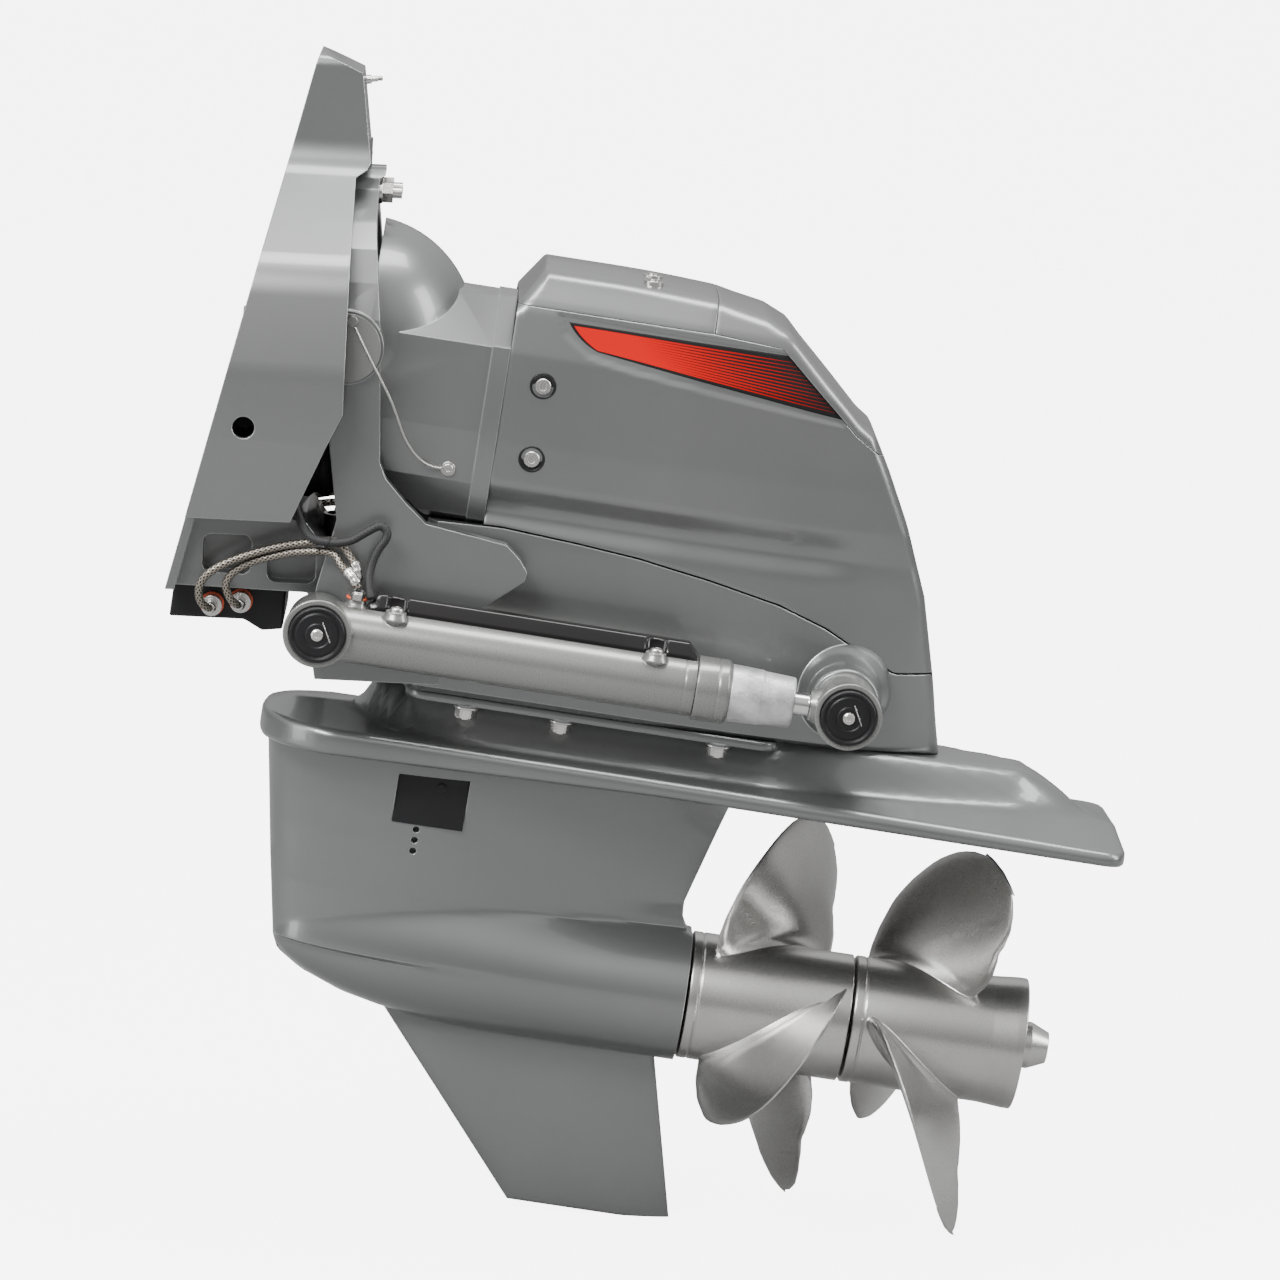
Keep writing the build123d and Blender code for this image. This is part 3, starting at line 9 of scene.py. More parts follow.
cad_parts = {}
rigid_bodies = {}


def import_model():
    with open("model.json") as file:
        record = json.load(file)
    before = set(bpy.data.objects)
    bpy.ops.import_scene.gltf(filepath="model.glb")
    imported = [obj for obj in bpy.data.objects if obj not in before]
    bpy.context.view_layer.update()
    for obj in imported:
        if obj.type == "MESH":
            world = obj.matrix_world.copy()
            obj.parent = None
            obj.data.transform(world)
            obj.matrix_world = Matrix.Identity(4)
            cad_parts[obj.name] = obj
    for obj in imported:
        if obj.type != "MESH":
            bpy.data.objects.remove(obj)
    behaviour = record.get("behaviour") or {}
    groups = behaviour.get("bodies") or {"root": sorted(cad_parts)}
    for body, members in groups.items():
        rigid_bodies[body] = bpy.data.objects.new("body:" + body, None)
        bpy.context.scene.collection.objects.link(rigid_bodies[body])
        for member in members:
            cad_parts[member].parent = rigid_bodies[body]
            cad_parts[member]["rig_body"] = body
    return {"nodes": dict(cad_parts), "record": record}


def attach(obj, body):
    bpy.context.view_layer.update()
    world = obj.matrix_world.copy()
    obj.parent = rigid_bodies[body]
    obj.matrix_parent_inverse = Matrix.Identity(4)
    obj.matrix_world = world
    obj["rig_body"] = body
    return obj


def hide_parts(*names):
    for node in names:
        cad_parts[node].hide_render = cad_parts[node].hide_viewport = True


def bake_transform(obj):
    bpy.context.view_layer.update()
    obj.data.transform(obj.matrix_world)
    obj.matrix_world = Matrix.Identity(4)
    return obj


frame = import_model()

NODES = frame["nodes"]
SLOT_OF = {part["node"]: part["material_slot"] for part in frame["record"]["subparts"]}
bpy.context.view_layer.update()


def turns(count):
    """Angles round a circle."""
    return [2 * pi * k / count for k in range(count)]


def spin(degrees, axis):
    return Matrix.Rotation(radians(degrees), 4, axis)


def moved(x, y=0, z=0):
    return Matrix.Translation((x, y, z))


# Frames of the boat, of the drive and of the two trim cylinders: millimetres about the pivot
MM = Matrix.Scale(0.001, 4)
TUCK = radians(6)
BOAT = MM @ moved(95)
DRIVE = BOAT @ Matrix.Rotation(TUCK, 4, "Y")
PIN_X, PIN_Z = 472, -242
AHEAD_EYE = Vector((-13, 0, -240))
AFT_EYE = Vector((PIN_X * cos(TUCK) + PIN_Z * sin(TUCK), 0, PIN_Z * cos(TUCK) - PIN_X * sin(TUCK)))
EYE_SPAN = (AFT_EYE - AHEAD_EYE).length
SLOPE = atan2(AHEAD_EYE.z - AFT_EYE.z, AFT_EYE.x - AHEAD_EYE.x)
CYLINDER_OUT = 157
PROP_Z = -546
PORT, STARBOARD = SIDES = (-1, 1)


def side_word(side):
    return "port" if side == PORT else "starboard"


def cylinder_frame(side):
    """Frame of a trim cylinder: +X toward its rod, -Y outboard; the starboard one is mirrored."""
    sloped = Matrix.Rotation(SLOPE, 4, "Y")
    if side == STARBOARD:
        sloped = sloped @ Matrix.Scale(-1, 4, (0, 1, 0))
    return BOAT @ moved(AHEAD_EYE.x, side * CYLINDER_OUT, AHEAD_EYE.z) @ sloped


def add_object(name, data, material=None):
    made = bpy.data.objects.new(name, data)
    bpy.context.scene.collection.objects.link(made)
    if material:
        data.materials.clear()
        data.materials.append(material)
    return made


# Camera
YAW, DIP, ROLL = radians(1.8), radians(10), radians(3.1)
AIM, DISTANCE = Vector((0.3631139, 0, -0.2644987)), 5.30973
sight = Vector((sin(YAW) * cos(DIP), cos(YAW) * cos(DIP), -sin(DIP)))
level = Vector((cos(YAW), -sin(YAW), 0))
upward = level.cross(sight)
right = level * cos(ROLL) + upward * sin(ROLL)
above = upward * cos(ROLL) - level * sin(ROLL)
camera = add_object("camera", bpy.data.cameras.new("camera"))
camera_turn = Matrix((right, above, -sight)).transposed().to_4x4()
camera.matrix_world = Matrix.Translation(AIM - DISTANCE * sight) @ camera_turn
camera.data.lens, camera.data.sensor_width, camera.data.clip_end = 168.75, 36, 100
bpy.context.scene.camera = camera


# Shader building blocks
def group_of(name, inputs, outputs):
    """An empty shader node group with its named inputs (name, kind, value) and outputs."""
    tree = bpy.data.node_groups.new(name, "ShaderNodeTree")
    for label, kind, value in inputs:
        socket = tree.interface.new_socket(label, in_out="INPUT", socket_type="NodeSocket" + kind)
        socket.default_value = value
    for label, kind in outputs:
        tree.interface.new_socket(label, in_out="OUTPUT", socket_type="NodeSocket" + kind)
    return tree, tree.nodes.new("NodeGroupInput"), tree.nodes.new("NodeGroupOutput")


def fill(tree, socket, value):
    """A socket linked to another socket, or set to a value."""
    if isinstance(value, bpy.types.NodeSocket):
        tree.links.new(value, socket)
    else:
        socket.default_value = value


def add_node(tree, kind, settings=None, **links):
    """A shader node with its settings, and its inputs by name, or by number as i0, i1 and so on."""
    node = tree.nodes.new("ShaderNode" + kind)
    for key, value in (settings or {}).items():
        setattr(node, key, value)
    for key, value in links.items():
        numbered = key[0] == "i" and key[1:].isdigit()
        fill(tree, node.inputs[int(key[1:]) if numbered else key.replace("_", " ")], value)
    return node


def maths(tree, how, a, b=0.0, c=0.0):
    return add_node(tree, "Math", {"operation": how}, i0=a, i1=b, i2=c).outputs[0]


def ranged(tree, value, low, high, to_low=0.0, to_high=1.0, smooth=True):
    return add_node(tree, "MapRange", {"interpolation_type": "SMOOTHSTEP" if smooth else "LINEAR"},
                    i0=value, i1=low, i2=high, i3=to_low, i4=to_high).outputs[0]


def mixed(tree, share, a, b):
    """A mix of two colours, each a socket, three numbers, or one number for a grey."""
    node = add_node(tree, "Mix", {"data_type": "RGBA"}, i0=share)
    for socket, value in ((node.inputs[6], a), (node.inputs[7], b)):
        if isinstance(value, float):
            value = (value, value, value)
        fill(tree, socket, (*value, 1) if isinstance(value, tuple) else value)
    return node.outputs[2]


def cloud(tree, where, scale, detail):
    """Noise between 0 and 1."""
    return add_node(tree, "TexNoise", i2=scale, Detail=detail, Roughness=0.5,
                    Vector=where).outputs["Fac"]


# Edge group: rounded edge normal, and a mask that is 1 along outside edges, used to lighten them as edge
# wear and as a painted highlight
edge_tree, edge_in, edge_out = group_of(
    "rounded_edge", [("Radius", "Float", 0.001), ("Wear", "Float", 0.5)],
    [("Normal", "Vector"), ("Mask", "Float")])
soft_edge = add_node(edge_tree, "Bevel", {"samples": 4}, Radius=edge_in.outputs["Radius"])
flat_normal = add_node(edge_tree, "NewGeometry")
facing = add_node(edge_tree, "VectorMath", {"operation": "DOT_PRODUCT"},
                  i0=soft_edge.outputs[0], i1=flat_normal.outputs["Normal"]).outputs["Value"]
ragged = cloud(edge_tree, add_node(edge_tree, "TexCoord").outputs["Object"], 90, 4)
# edge mask: edge wear and a painted highlight of edges catching the lamps
edge_wear_and_highlight = maths(edge_tree, "MULTIPLY", ranged(edge_tree, facing, 0.995, 0.86),
                  maths(edge_tree, "MULTIPLY_ADD", ragged, 0.6, 0.4))
fill(edge_tree, edge_out.inputs["Normal"], soft_edge.outputs[0])
fill(edge_tree, edge_out.inputs["Mask"], maths(edge_tree, "MULTIPLY", edge_wear_and_highlight, edge_in.outputs["Wear"]))

# Surface group: a slow colour drift, and a fine grain for roughness and bump
grain_tree, grain_in, grain_out = group_of(
    "surface_grain",
    [("Drift Scale", "Float", 6.0), ("Grain Scale", "Float", 1500.0), ("Stretch", "Vector", (1, 1, 1))],
    [("Drift", "Float"), ("Grain", "Float")])
grain_where = add_node(grain_tree, "TexCoord").outputs["Object"]
drawn = add_node(grain_tree, "VectorMath", {"operation": "MULTIPLY"},
                 i0=grain_where, i1=grain_in.outputs["Stretch"]).outputs[0]
fine_grain = add_node(grain_tree, "TexNoise", i2=grain_in.outputs["Grain Scale"], Vector=drawn)
slow_drift = cloud(grain_tree, grain_where, grain_in.outputs["Drift Scale"], 4)
fill(grain_tree, grain_out.inputs["Drift"], slow_drift)
fill(grain_tree, grain_out.inputs["Grain"], fine_grain.outputs["Fac"])


def use_group(tree, group, **values):
    node = tree.nodes.new("ShaderNodeGroup")
    node.node_tree = group
    for key, value in values.items():
        node.inputs[key.replace("_", " ")].default_value = value
    return node.outputs


def new_material(name, **settings):
    """A material, its node tree and its shader's inputs, some of them set by name."""
    made = bpy.data.materials.new(name)
    made.use_nodes = True
    inputs = made.node_tree.nodes["Principled BSDF"].inputs
    for key, value in settings.items():
        inputs[key.replace("_", " ")].default_value = value
    return made, made.node_tree, inputs


def finish_material(name, dark, light, wear_and_highlight_colour, metallic, rough, coat=0.0, drift=6.0, grain=1500.0,
                    stretch=(1, 1, 1), bump=0.02, edge=0.0012, wear_and_highlight=0.4, rough_swing=0.1, gloss=0.5):
    """A material whose colour drifts from dark to light, with its edges rounded and lightened, as wear and
    as a painted highlight.
    """
    made, tree, inputs = new_material(name, Metallic=metallic, Coat_Weight=coat, Coat_Roughness=0.06,
                                      Specular_IOR_Level=gloss)
    surface = use_group(tree, grain_tree, Drift_Scale=drift, Grain_Scale=grain, Stretch=stretch)
    rim = use_group(tree, edge_tree, Radius=edge, Wear=wear_and_highlight)
    shade = mixed(tree, ranged(tree, surface["Drift"], 0.3, 0.7), dark, light)
    # edges lightened by the mask: edge wear and a painted highlight
    fill(tree, inputs["Base Color"], mixed(tree, rim["Mask"], shade, wear_and_highlight_colour))
    fill(tree, inputs["Roughness"], ranged(tree, surface["Grain"], 0.25, 0.75, rough - rough_swing / 2,
                                           rough + rough_swing / 2))
    raised = add_node(tree, "Bump", Height=maths(tree, "MULTIPLY", surface["Grain"], bump),
                      Distance=0.0006, Strength=0.6, Normal=rim["Normal"])
    fill(tree, inputs["Normal"], raised.outputs[0])
    return made


# Each finish's third colour lightens its edges: on grey_paint it is mainly a painted highlight of edges
# catching the lamps, on the others edge wear and a painted highlight together
grey_paint = finish_material("grey_paint", (0.150, 0.156, 0.154), (0.172, 0.176, 0.173),
                             (0.6, 0.61, 0.61), 0.72, 0.33, coat=0.55, bump=0.04, wear_and_highlight=0.9, edge=0.0015,
                             drift=3, rough_swing=0.06)
cylinder_paint = finish_material("cylinder_paint", (0.185, 0.188, 0.178), (0.21, 0.212, 0.2),
                                 (0.5, 0.5, 0.48), 0.6, 0.3, coat=0.5, bump=0.04, wear_and_highlight=0.35, drift=4)
black_plastic = finish_material("black_plastic", (0.004, 0.004, 0.0045), (0.008, 0.008, 0.009),
                                (0.05, 0.05, 0.055), 0.0, 0.36, grain=1800, bump=0.15, wear_and_highlight=0.5, gloss=0.3)
gloss_black = finish_material("gloss_black", (0.003, 0.0025, 0.0025), (0.006, 0.005, 0.005),
                              0.04, 0.0, 0.16, coat=0.35, bump=0.01, wear_and_highlight=0.3, gloss=0.3)
stainless = finish_material("stainless", (0.52, 0.51, 0.49), (0.63, 0.62, 0.6), (0.8, 0.79, 0.77),
                            1.0, 0.27, grain=900, bump=0.05, edge=0.0006)
polished_rod = finish_material("polished_rod", (0.62, 0.62, 0.61), (0.7, 0.7, 0.69),
                               0.85, 1.0, 0.12, bump=0.01)
propeller_steel = finish_material("propeller_steel", (0.43, 0.425, 0.415), (0.51, 0.505, 0.495),
                                  (0.68, 0.67, 0.66), 1.0, 0.28, grain=5200, stretch=(1, 1, 0.1),
                                  bump=0.045, rough_swing=0.12, drift=9, wear_and_highlight=0.2)
gear_steel = finish_material("gear_steel", 0.3, 0.38, 0.6, 1.0, 0.3)
bare_metal = finish_material("bare_metal", (0.45, 0.44, 0.42), (0.55, 0.54, 0.52), (0.7, 0.7, 0.68),
                             1.0, 0.38)
zinc = finish_material("zinc", (0.36, 0.36, 0.365), 0.6, (0.75, 0.75, 0.74), 0.75, 0.48,
                       drift=45, grain=500, bump=0.5, rough_swing=0.25)
bronze = finish_material("bronze", (0.38, 0.24, 0.1), (0.47, 0.31, 0.14), (0.7, 0.5, 0.25), 1.0, 0.33)
rubber = finish_material("rubber", 0.012, 0.022, 0.05, 0.0, 0.62, grain=700, bump=0.4)
seal_red = finish_material("seal_red", (0.5, 0.075, 0.03), (0.6, 0.1, 0.04), (0.7, 0.2, 0.1), 0.0, 0.4)
FINISHES = {"grey_paint": grey_paint, "black_plastic": black_plastic, "stainless": stainless,
            "polished_rod": polished_rod, "propeller_steel": propeller_steel, "gear_steel": gear_steel,
            "bare_metal": bare_metal, "zinc": zinc, "bronze": bronze, "rubber": rubber}


def finish_of(node):
    return FINISHES.get(SLOT_OF.get(node, ""), grey_paint)


def run_map(tree):
    """Both numbers of the map that runs round a tube and along it, or over a label."""
    spot = add_node(tree, "UVMap", {"uv_map": "run"})
    return add_node(tree, "SeparateXYZ", Vector=spot.outputs[0]).outputs


def braid_material(name, strand, gap, metallic, rough, per_turn, pitch):
    """Strands laid both ways round a tube."""
    made, tree, inputs = new_material(name, Metallic=metallic)
    parts = run_map(tree)
    along = maths(tree, "MULTIPLY", parts[1], pitch)
    round_it = maths(tree, "MULTIPLY", parts[0], per_turn)
    one_way, other_way = (maths(tree, "PINGPONG", maths(tree, how, along, round_it), 0.5)
                          for how in ("ADD", "SUBTRACT"))
    weave = maths(tree, "MAXIMUM", one_way, other_way)
    height = maths(tree, "ADD", weave, maths(tree, "MULTIPLY", one_way, other_way))
    fill(tree, inputs["Base Color"], mixed(tree, ranged(tree, weave, 0.2, 0.4), gap, strand))
    fill(tree, inputs["Roughness"], ranged(tree, weave, 0.2, 0.5, rough + 0.15, rough))
    raised = add_node(tree, "Bump", Height=height, Distance=0.0005, Strength=0.8)
    fill(tree, inputs["Normal"], raised.outputs[0])
    return made


steel_braid = braid_material("steel_braid", (0.29, 0.262, 0.225), (0.02, 0.017, 0.014), 0.85, 0.36, 7, 200)
black_braid = braid_material("black_braid", (0.012, 0.012, 0.013), 0.002, 0.0, 0.55, 8, 320)
wire_lay = braid_material("wire_lay", (0.7, 0.69, 0.67), (0.25, 0.25, 0.24), 1.0, 0.3, 3, 420)


# Ways to make a piece and to settle it on its body
def settle(made, node=None, body=None, slot=None):
    """A piece riding on its body, in the place of a CAD node or as an addition. Its slot argument is not
    used.
    """
    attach(made, body or NODES[node]["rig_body"])
    if node:
        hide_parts(node)
    return made


def opened(mesh, merge=None):
    """A mesh opened for changes, with its nearest points merged."""
    bm = bmesh.new()
    bm.from_mesh(mesh)
    if merge:
        bmesh.ops.remove_doubles(bm, verts=bm.verts, dist=merge)
    return bm


def stored(bm, mesh):
    bm.to_mesh(mesh)
    bm.free()
    return mesh


def smoothed(mesh, sharp):
    """A mesh shaded smooth but for edges sharper than an angle in degrees."""
    mesh.shade_smooth()
    mesh.set_sharp_from_angle(angle=radians(sharp))


def evaluated(made):
    bpy.context.view_layer.update()
    return bpy.data.meshes.new_from_object(made.evaluated_get(bpy.context.evaluated_depsgraph_get()))


def modified(made, kind, **settings):
    """An object given one more modifier."""
    modifier = made.modifiers.new(kind.lower(), kind)
    for key, value in settings.items():
        setattr(modifier, key, value)


def flattened(made, sharp=None):
    """The object's evaluated mesh put in its place, with its modifiers gone."""
    mesh = evaluated(made)
    made.modifiers.clear()
    made.data = mesh
    if sharp:
        smoothed(mesh, sharp)


def skin(name, rings, material=None, capped=True, closed=True, at=DRIVE, sharp=40):
    """A shell lofted through rings of points, which are millimetres in the frame given as at."""
    count = len(rings[0])
    spots = [at @ Vector(point) for ring in rings for point in ring]
    faces = []
    for i in range(len(rings) - 1):
        for k in range(count if closed else count - 1):
            n = (k + 1) % count
            faces.append((i * count + k, i * count + n, (i + 1) * count + n, (i + 1) * count + k))
    if capped:
        faces.append(tuple(range(count))[::-1])
        faces.append(tuple((len(rings) - 1) * count + k for k in range(count)))
    mesh = bpy.data.meshes.new(name)
    mesh.from_pydata([tuple(spot) for spot in spots], [], faces)
    bm = opened(mesh, 2e-6)
    bmesh.ops.recalc_face_normals(bm, faces=bm.faces)
    smoothed(stored(bm, mesh), sharp)
    return add_object(name, mesh, material)


def joined(name, pieces):
    """Several pieces made into one object, with the first one's materials."""
    bm = bmesh.new()
    for piece in pieces:
        bm.from_mesh(piece.data)
    mesh = stored(bm, bpy.data.meshes.new(name))
    for material in pieces[0].data.materials:
        mesh.materials.append(material)
    for piece in pieces:
        bpy.data.objects.remove(piece)
    return add_object(name, mesh)


def lathe(name, profile, material=None, at=DRIVE, height=0, sides=96, sharp=35):
    """A turned piece about X from (x, radius) points; one that ends where it starts has no caps."""
    rings = [[(x, r * sin(a), height + r * cos(a)) for a in turns(sides)] for x, r in profile]
    return skin(name, rings, material, profile[0] != profile[-1], at=at, sharp=sharp)


def eased(points, r=1.0, steps=3):
    """An open outline with its inner corners cut to small rounds."""
    out = [points[0]]
    for before, at, after in zip(points, points[1:], points[2:]):
        a, p, c = (np.array(v, float) for v in (before, at, after))
        back, on = np.linalg.norm(a - p), np.linalg.norm(c - p)
        near = min(r, 0.45 * back, 0.45 * on)
        start, end = p + (a - p) / back * near, p + (c - p) / on * near
        for step_no in range(steps + 1):
            t = step_no / steps
            out.append(tuple((1 - t) ** 2 * start + 2 * t * (1 - t) * p + t * t * end))
    return out + [points[-1]]


def read(value, at, line):
    """A broken line read at one value."""
    return float(np.interp(value, at, line))


def rim_drop(distance, reach):
    """How far a quarter round has dropped, from 0 inside its reach to 1 at the rim."""
    edge = max(0.0, 1 - distance / reach)
    return 1 - sqrt(max(0.0, 1 - edge * edge))


# Hoses, sensor cables and bonding wires, by the same points as in the part's source
HOSE, CABLE, WIRE = (7, steel_braid), (7.5, black_braid), (2.2, wire_lay)
AT_TRANSOM = ("transom", "ring", "hoses_at_transom", "hose_braid")
AT_RING = ("ring", "{}_cylinder", "hoses_at_ring", "hose_braid")
ROUTES = (
    ("hose_ahead", HOSE, AT_TRANSOM,
     [(-108, 90, -238), (-108, 104, -238), (-118, 116, -229), (-118, 123, -209),
      (-98, 125, -193), (-66, 128, -180), (-38, 133, -171.5), (-14, 138.5, -167.3)]),
    ("hose_behind", HOSE, AT_TRANSOM,
     [(-83, 90, -234), (-83, 103, -234), (-91, 114, -227), (-97, 119, -209),
      (-80, 121, -193), (-50, 127, -183), (-32, 133, -178), (-14, 138, -176.5)]),
    ("sensor_cable", CABLE, AT_TRANSOM,
     [(-113.5, 125, -112), (-85, 125, -119), (-60, 126, -121), (-41, 129, -130),
      (-35, 136, -146), (-29, 142, -158), (-20, 146, -166.5), (-6, 149, -166.5)]),
    ("hose_ahead_end", HOSE, AT_RING,
     [(-13.9, 138.52, -167.28), (0.9, 141.9, -164.7), (11.5, 146, -178), (19.5, 151.5, -190),
      (20.1, 153, -202.8)]),
    ("hose_behind_end", HOSE, AT_RING,
     [(-13.9, 138.03, -176.49), (-1.4, 141.5, -175.45), (4, 149, -187), (14.5, 160, -192.5),
      (20.1, 161, -202.8)]),
    ("sensor_cable_end", CABLE, AT_RING,
     [(-5.9, 149.02, -166.5), (8, 152, -166.5), (24, 151, -156), (37, 148, -148.5),
      (44.5, 149.5, -157.5), (34, 151, -171.5), (29, 153, -187), (28, 158.5, -200),
      (31.2, 162.5, -211.4)]),
    ("bonding_wire", WIRE, ("ring", "drive", "bonding_wires", "stainless"),
     [(6.6, 139.4, 18.5), (18, 142, -3), (31, 140, -26), (40, 135, -43), (46.5, 128, -60),
      (53, 119, -79), (64, 108, -95.5), (76, 99.5, -104.5), (86.2, 98, -105.4)]))


def centreline(points, side):
    """Points read along the route's own smooth spline."""
    curve = bpy.data.curves.new("route", "CURVE")
    curve.dimensions = "3D"
    curve.resolution_u = 12
    spline = curve.splines.new("NURBS")
    spline.points.add(len(points) - 1)
    for point, (x, y, z) in zip(spline.points, points):
        point.co = (*(BOAT @ Vector((x, side * y, z))), 1)
    spline.order_u = 3
    spline.use_endpoint_u = True
    holder = add_object("route", curve)
    line = [v.co.copy() for v in evaluated(holder).vertices]
    bpy.data.objects.remove(holder)
    return line


def length_of(path):
    return sum((b - a).length for a, b in zip(path, path[1:]))


def tube_along(name, line, radius_at, material, sides=16):
    """A closed tube about a line, with a map that runs round it and along it in metres."""
    bm = bmesh.new()
    lay = bm.loops.layers.uv.new("run")
    rings, runs = [], [0.0]
    normal = (line[1] - line[0]).normalized().orthogonal().normalized()
    for i, point in enumerate(line):
        ahead = (line[min(i + 1, len(line) - 1)] - line[max(i - 1, 0)]).normalized()
        normal = (normal - ahead * normal.dot(ahead)).normalized()
        other = ahead.cross(normal)
        if i:
            runs.append(runs[-1] + (point - line[i - 1]).length)
        size = radius_at(runs[-1])
        rings.append([bm.verts.new(point + size * (normal * cos(a) + other * sin(a))) for a in turns(sides)])
    for i in range(len(rings) - 1):
        for k in range(sides):
            n = (k + 1) % sides
            face = bm.faces.new((rings[i][k], rings[i][n], rings[i + 1][n], rings[i + 1][k]))
            face.smooth = True
            for loop, (u, v) in zip(face.loops, ((k, i), (k + 1, i), (k + 1, i + 1), (k, i + 1))):
                loop[lay].uv = (u / sides, runs[v])
    bm.faces.new(rings[0][::-1])
    bm.faces.new(rings[-1])
    return add_object(name, stored(bm, bpy.data.meshes.new(name)), material)


def ferrule(name, path, start, length, radius, body):
    """A crimped steel sleeve round part of a hose, start metres from the path's beginning."""
    run, line = 0.0, []
    for a, b in zip(path, path[1:]):
        if start <= run <= start + length:
            line.append(a)
        run += (b - a).length
    full = length_of(line)

    def size(along):
        f = along / full
        crimp = 0.00045 * max(0.0, sin(f * pi * 7)) if 0.12 < f < 0.88 else 0.0
        return radius - crimp - (0.0012 if f < 0.02 or f > 0.98 else 0)
    settle(tube_along(name, line, size, stainless, 24), body=body, slot="stainless")


FERRULE_SHARE = 0.62
for side in SIDES:
    where = side_word(side)
    for label, (diameter, cover), (first, second, node, slot), points in ROUTES:
        name, path = f"{where}_{label}", centreline(points, side)
        made = tube_along(name, path, lambda run, r=diameter / 2000: r, cover)
        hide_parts(node)
        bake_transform(made)
        if label in ("hose_ahead_end", "hose_behind_end"):
            ferrule(name + "_ferrule", path, round(length_of(path), 4) * FERRULE_SHARE, 0.018, 0.0047,
                    where + "_cylinder")
        if label in ("hose_ahead", "hose_behind"):
            ferrule(name + "_ferrule", path, 0.0, 0.013, 0.0049, "transom")

# Stage: a floor and a sky that the camera sees as white, and four lamps
FLOOR_Z, FLOOR_HALF = -0.79, 40
floor_mesh = bpy.data.meshes.new("floor")
floor_mesh.from_pydata([(x * FLOOR_HALF, y * FLOOR_HALF, FLOOR_Z)
                        for x, y in ((-1, -1), (1, -1), (1, 1), (-1, 1))], [], [(0, 1, 2, 3)])
floor_paint, tree, inputs = new_material("floor_paint", Roughness=0.9, Base_Color=(0.3, 0.3, 0.3, 1),
                                         Emission_Color=(1, 1, 1, 1))
floor_seen = add_node(tree, "LightPath").outputs["Is Camera Ray"]
fill(tree, inputs["Emission Strength"], maths(tree, "MULTIPLY", floor_seen, 6.0))
add_object("floor", floor_mesh, floor_paint)

for name, at, to, size, power in (("key", (-1.6, -2.6, 2.4), (0.3, 0, -0.1), (2.4, 1.2), 265),
                                  ("top", (0.5, -0.3, 3.0), (0.35, 0, 0), (3.4, 1.0), 140),
                                  ("rim", (3.0, -0.6, 1.0), (0.4, 0, -0.2), (0.8, 2.2), 60),
                                  ("front", (-2.6, -1.2, 0.2), (0.3, 0, -0.3), (0.8, 2.2), 28)):
    light = bpy.data.lights.new(name, "AREA")
    light.shape = "RECTANGLE"
    light.size, light.size_y = size
    light.energy = power
    lamp = add_object(name, light)
    lamp.location = at
    lamp.rotation_euler = (Vector(to) - Vector(at)).to_track_quat("-Z", "Y").to_euler()

sky = bpy.data.worlds.new("studio")
sky.use_nodes = True
tree = sky.node_tree
sky_inputs = tree.nodes["Background"].inputs
sky_inputs[0].default_value = (1, 1, 1, 1)
sky_seen = add_node(tree, "LightPath").outputs["Is Camera Ray"]
towards = add_node(tree, "SeparateXYZ",
                   Vector=add_node(tree, "TexCoord").outputs["Generated"]).outputs[2]
sky_light = maths(tree, "MULTIPLY_ADD", ranged(tree, towards, -0.3, 0.8), 0.95, 0.13)
fill(tree, sky_inputs[1], maths(tree, "MULTIPLY_ADD", sky_seen, 6.2, sky_light))
bpy.context.scene.world = sky

# Propellers
ROOT_R, HUB_R = 50, 57
TIP_FROM = 0.97
BLADE_COUNT = 3
SHARES = (0, .15, .3, .45, .6, .75, .85, .92, TIP_FROM, 1)


def blade(phase, sense, x0, tip, pitch, chords, skew, rake):
    """One blade: helical sections, thick at the hub and thin at the tip."""
    rings, count = [], 17
    for share in [0.0, 0.02, 0.05, 0.09] + [0.13 + 0.84 * k / 22 for k in range(23)] + [0.985, 0.995, 1.0]:
        r = ROOT_R + share * (tip - ROOT_R)
        f = max(0.0, (r - HUB_R) / (tip - HUB_R))
        chord = read(f, SHARES, chords)
        if f > TIP_FROM:
            chord = 66 * sqrt(max(0.0, 1 - ((f - TIP_FROM) / 0.0302) ** 2)) + 6
        lag = radians(read(f, (0, 0.5, 1), skew))
        back = read(f, (0, 0.5, 1), rake)
        root = max(0.0, 1 - (r - HUB_R) / 13) ** 2 if r > HUB_R else 1.0
        thick = 13 * (1 - f) ** 1.15 + 2.6 + 11 * root
        lead = (pitch[0] + (pitch[1] - pitch[0]) * f) / (2 * pi)
        mid, up = [], []
        for j in range(count):
            t = -0.5 * cos(pi * j / (count - 1))
            dphi = chord * t / hypot(r, lead)
            a = radians(phase) + sense * (lag + dphi)
            mid.append(Vector((x0 + back + lead * (lag + dphi), -r * sin(a), PROP_Z + r * cos(a))))
            along = Vector((lead, -sense * r * cos(a), -sense * r * sin(a))).normalized()
            up.append(along.cross(Vector((0, -sin(a), cos(a)))).normalized())
        ring = []
        for j in list(range(count)) + list(range(count - 2, 0, -1)):
            t = abs(cos(pi * j / (count - 1)))
            half = 0.5 * thick * sqrt(max(0.0, 1 - t * t)) ** 0.8 + (0.35 if 0 < j < count - 1 else 0)
            ring.append(mid[j] + up[j] * half * (1 if len(ring) < count else -0.75))
        rings.append(ring)
    return skin("blade", rings)


